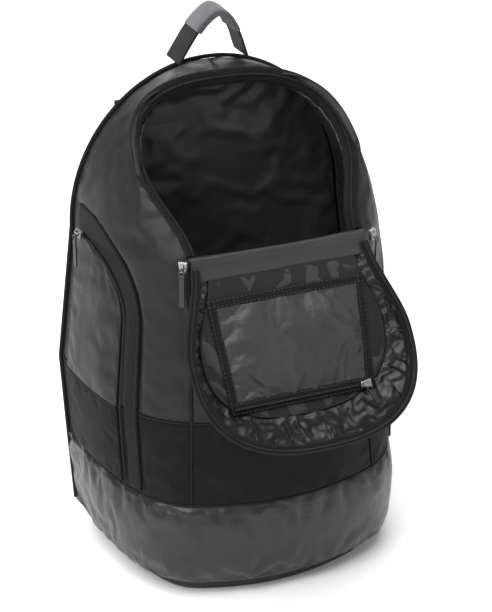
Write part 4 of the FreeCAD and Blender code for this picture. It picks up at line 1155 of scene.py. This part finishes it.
def straps():
    pad_y = BACK_Y + 3.2 * MM
    start_x, top_z, low_z, half_top, thick_top = 52 * MM, 452 * MM, 168 * MM, 31 * MM, 12 * MM
    for name, side in SIDES:
        t, w = grid_of(np.linspace(0, 1, 120), np.linspace(-1, 1, 31))
        x = start_x + 28.5 * MM * np.sin(math.pi * np.minimum(t * 1.05, 1)) + 16 * MM * t
        y = pad_y + 4.5 * MM + 8.5 * MM * t + 22 * MM * np.clip(np.sin(math.pi * t), 0, None) ** 0.7
        z = top_z + (low_z - top_z) * t
        half = half_top * (1 - 0.35 * t)
        thick = thick_top * (1 - 0.45 * t)
        ends = np.clip(np.minimum(t, 1 - t) / 0.03, 0, 1)
        crown = np.sqrt(np.clip(1 - np.abs(w) ** 4, 0, 1)) * np.sqrt(1 - (1 - ends) ** 2)
        channel = 0.25 * np.exp(-((np.abs(w) - 0.62) / 0.07) ** 2)
        outer = points(side * (x + w * half), y + thick * (0.35 + 0.65 * crown * (1 - channel)), z)
        inner = points(side * (x + w * half), y + thick * 0.35 * (1 - crown), z)
        obj = closed("strap_foam_" + name, outer, inner)
        finish_piece(obj, "strap_" + name, WOVEN, ("shoulder_strap_" + name,))
        webbing_run(name, side, pad_y)


def webbing_run(name, side, pad_y):
    """Webbing from the strap's adjuster down to the bag's lower corner."""
    end = np.array([68.0, 0.0, 168.0]) * MM
    end[1] = pad_y + 13 * MM
    t, w = grid_of(np.linspace(-0.08, 1.04, 90), np.linspace(-1, 1, 15))
    s = np.clip(t, 0, 1)
    x = end[0] + (120 * MM - end[0]) * s
    y = end[1] + (pad_y + 3 * MM - end[1]) * s + 5 * MM * np.sin(math.pi * s) + 1.2 * MM
    z = end[2] - 20 * MM + (58 * MM - end[2] + 20 * MM) * t
    grid = points(side * (x + w * 12.5 * MM), y, z)
    out = facing(grid, (0, 0, 0.1))
    obj = shell("webbing_" + name, grid, 1.6 * MM, out)
    obj.data.materials.append(WEBBING)
    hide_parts("lower_webbing_" + name)
    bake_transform(obj)


# ---- CAD pieces that keep their shape
def keep(node, material, bevel=0.0):
    obj = frame["nodes"][node]
    for slot in obj.material_slots:
        slot.material = material
    if not obj.material_slots:
        obj.data.materials.append(material)
    if bevel:
        modifier = obj.modifiers.new("edges", "BEVEL")
        modifier.width = bevel
        modifier.segments = 2
        modifier.limit_method = "ANGLE"


def kept_nodes():
    keep("base_tub", PLASTIC, 1.2 * MM)
    keep("base_board", PLASTIC)
    keep("back_board", PLASTIC)
    keep("pocket_slider", METAL, 0.2 * MM)
    keep("pocket_puller", BUCKLE, 0.2 * MM)
    for name, _ in SIDES:
        keep("main_slider_" + name, METAL, 0.2 * MM)
        keep("main_puller_" + name, TEETH, 0.2 * MM)
        keep("side_slider_" + name, METAL, 0.2 * MM)
        keep("side_puller_" + name, TEETH, 0.2 * MM)
        keep("ladder_lock_" + name, BUCKLE, 0.5 * MM)


# ---- floor, light, camera
def studio():
    size = 20.0
    verts = [(x, y, -0.2 * MM) for x, y in ((-size, -size), (size, -size), (size, size), (-size, size))]
    faces = [(0, 1, 2, 3)]
    floor = new_object("studio_floor", verts, faces)
    paper = Material("paper", grey(0.93), 0.9, specular=0.1)
    paper.height(paper.noise(60.0), 0.05 * MM)
    floor.data.materials.append(paper.done())
    world = bpy.data.worlds.new("studio")
    world.use_nodes = True
    world.node_tree.nodes["Background"].inputs[0].default_value = (1, 1, 1, 1)
    world.node_tree.nodes["Background"].inputs[1].default_value = 0.42
    bpy.context.scene.world = world
    area_light("key", (-1.5, -0.9, 1.5), 0.9, 27.0)
    area_light("fill", (1.5, -1.6, 1.0), 1.4, 7.0)
    area_light("top", (0.1, -0.2, 2.2), 1.2, 18.0)
    area_light("rear", (0.4, 1.9, 1.5), 1.4, 26.0)
    daylight = bpy.data.lights.new("daylight", "SUN")
    daylight.energy = 2.1
    daylight.angle = 0.7
    obj = bpy.data.objects.new("daylight", daylight)
    obj.rotation_euler = (math.radians(18), math.radians(-16), 0)
    bpy.context.scene.collection.objects.link(obj)


def area_light(name, place, size, power):
    light = bpy.data.lights.new(name, "AREA")
    light.size = size
    light.energy = power
    obj = bpy.data.objects.new(name, light)
    obj.location = place
    aim = Vector((0, 0, 0.25)) - Vector(place)
    obj.rotation_euler = aim.to_track_quat("-Z", "Y").to_euler()
    bpy.context.scene.collection.objects.link(obj)


def camera():
    azimuth, elevation, distance = math.radians(22.75), math.radians(26.17), 1.795
    target = Vector((0.0083, 0.0, 0.2532))
    back = Vector((-math.sin(azimuth) * math.cos(elevation), -math.cos(azimuth) * math.cos(elevation),
                   math.sin(elevation)))
    data = bpy.data.cameras.new("camera")
    data.lens = 105.4
    data.sensor_width = 36
    data.clip_end = 30
    obj = bpy.data.objects.new("camera", data)
    obj.location = target + back * distance
    obj.rotation_euler = (-back).to_track_quat("-Z", "Y").to_euler()
    bpy.context.scene.collection.objects.link(obj)
    bpy.context.scene.camera = obj
    bpy.context.scene.view_settings.view_transform = "Standard"


studio()
camera()
body_panels()
side_pockets()
seam_piping()
linings()
rim_zip()
flap_cloth()
flap_gusset()
flap_zip()
flap_pocket()
hinge_fold()
handle_loop()
back_parts()
patches()
straps()
kept_nodes()
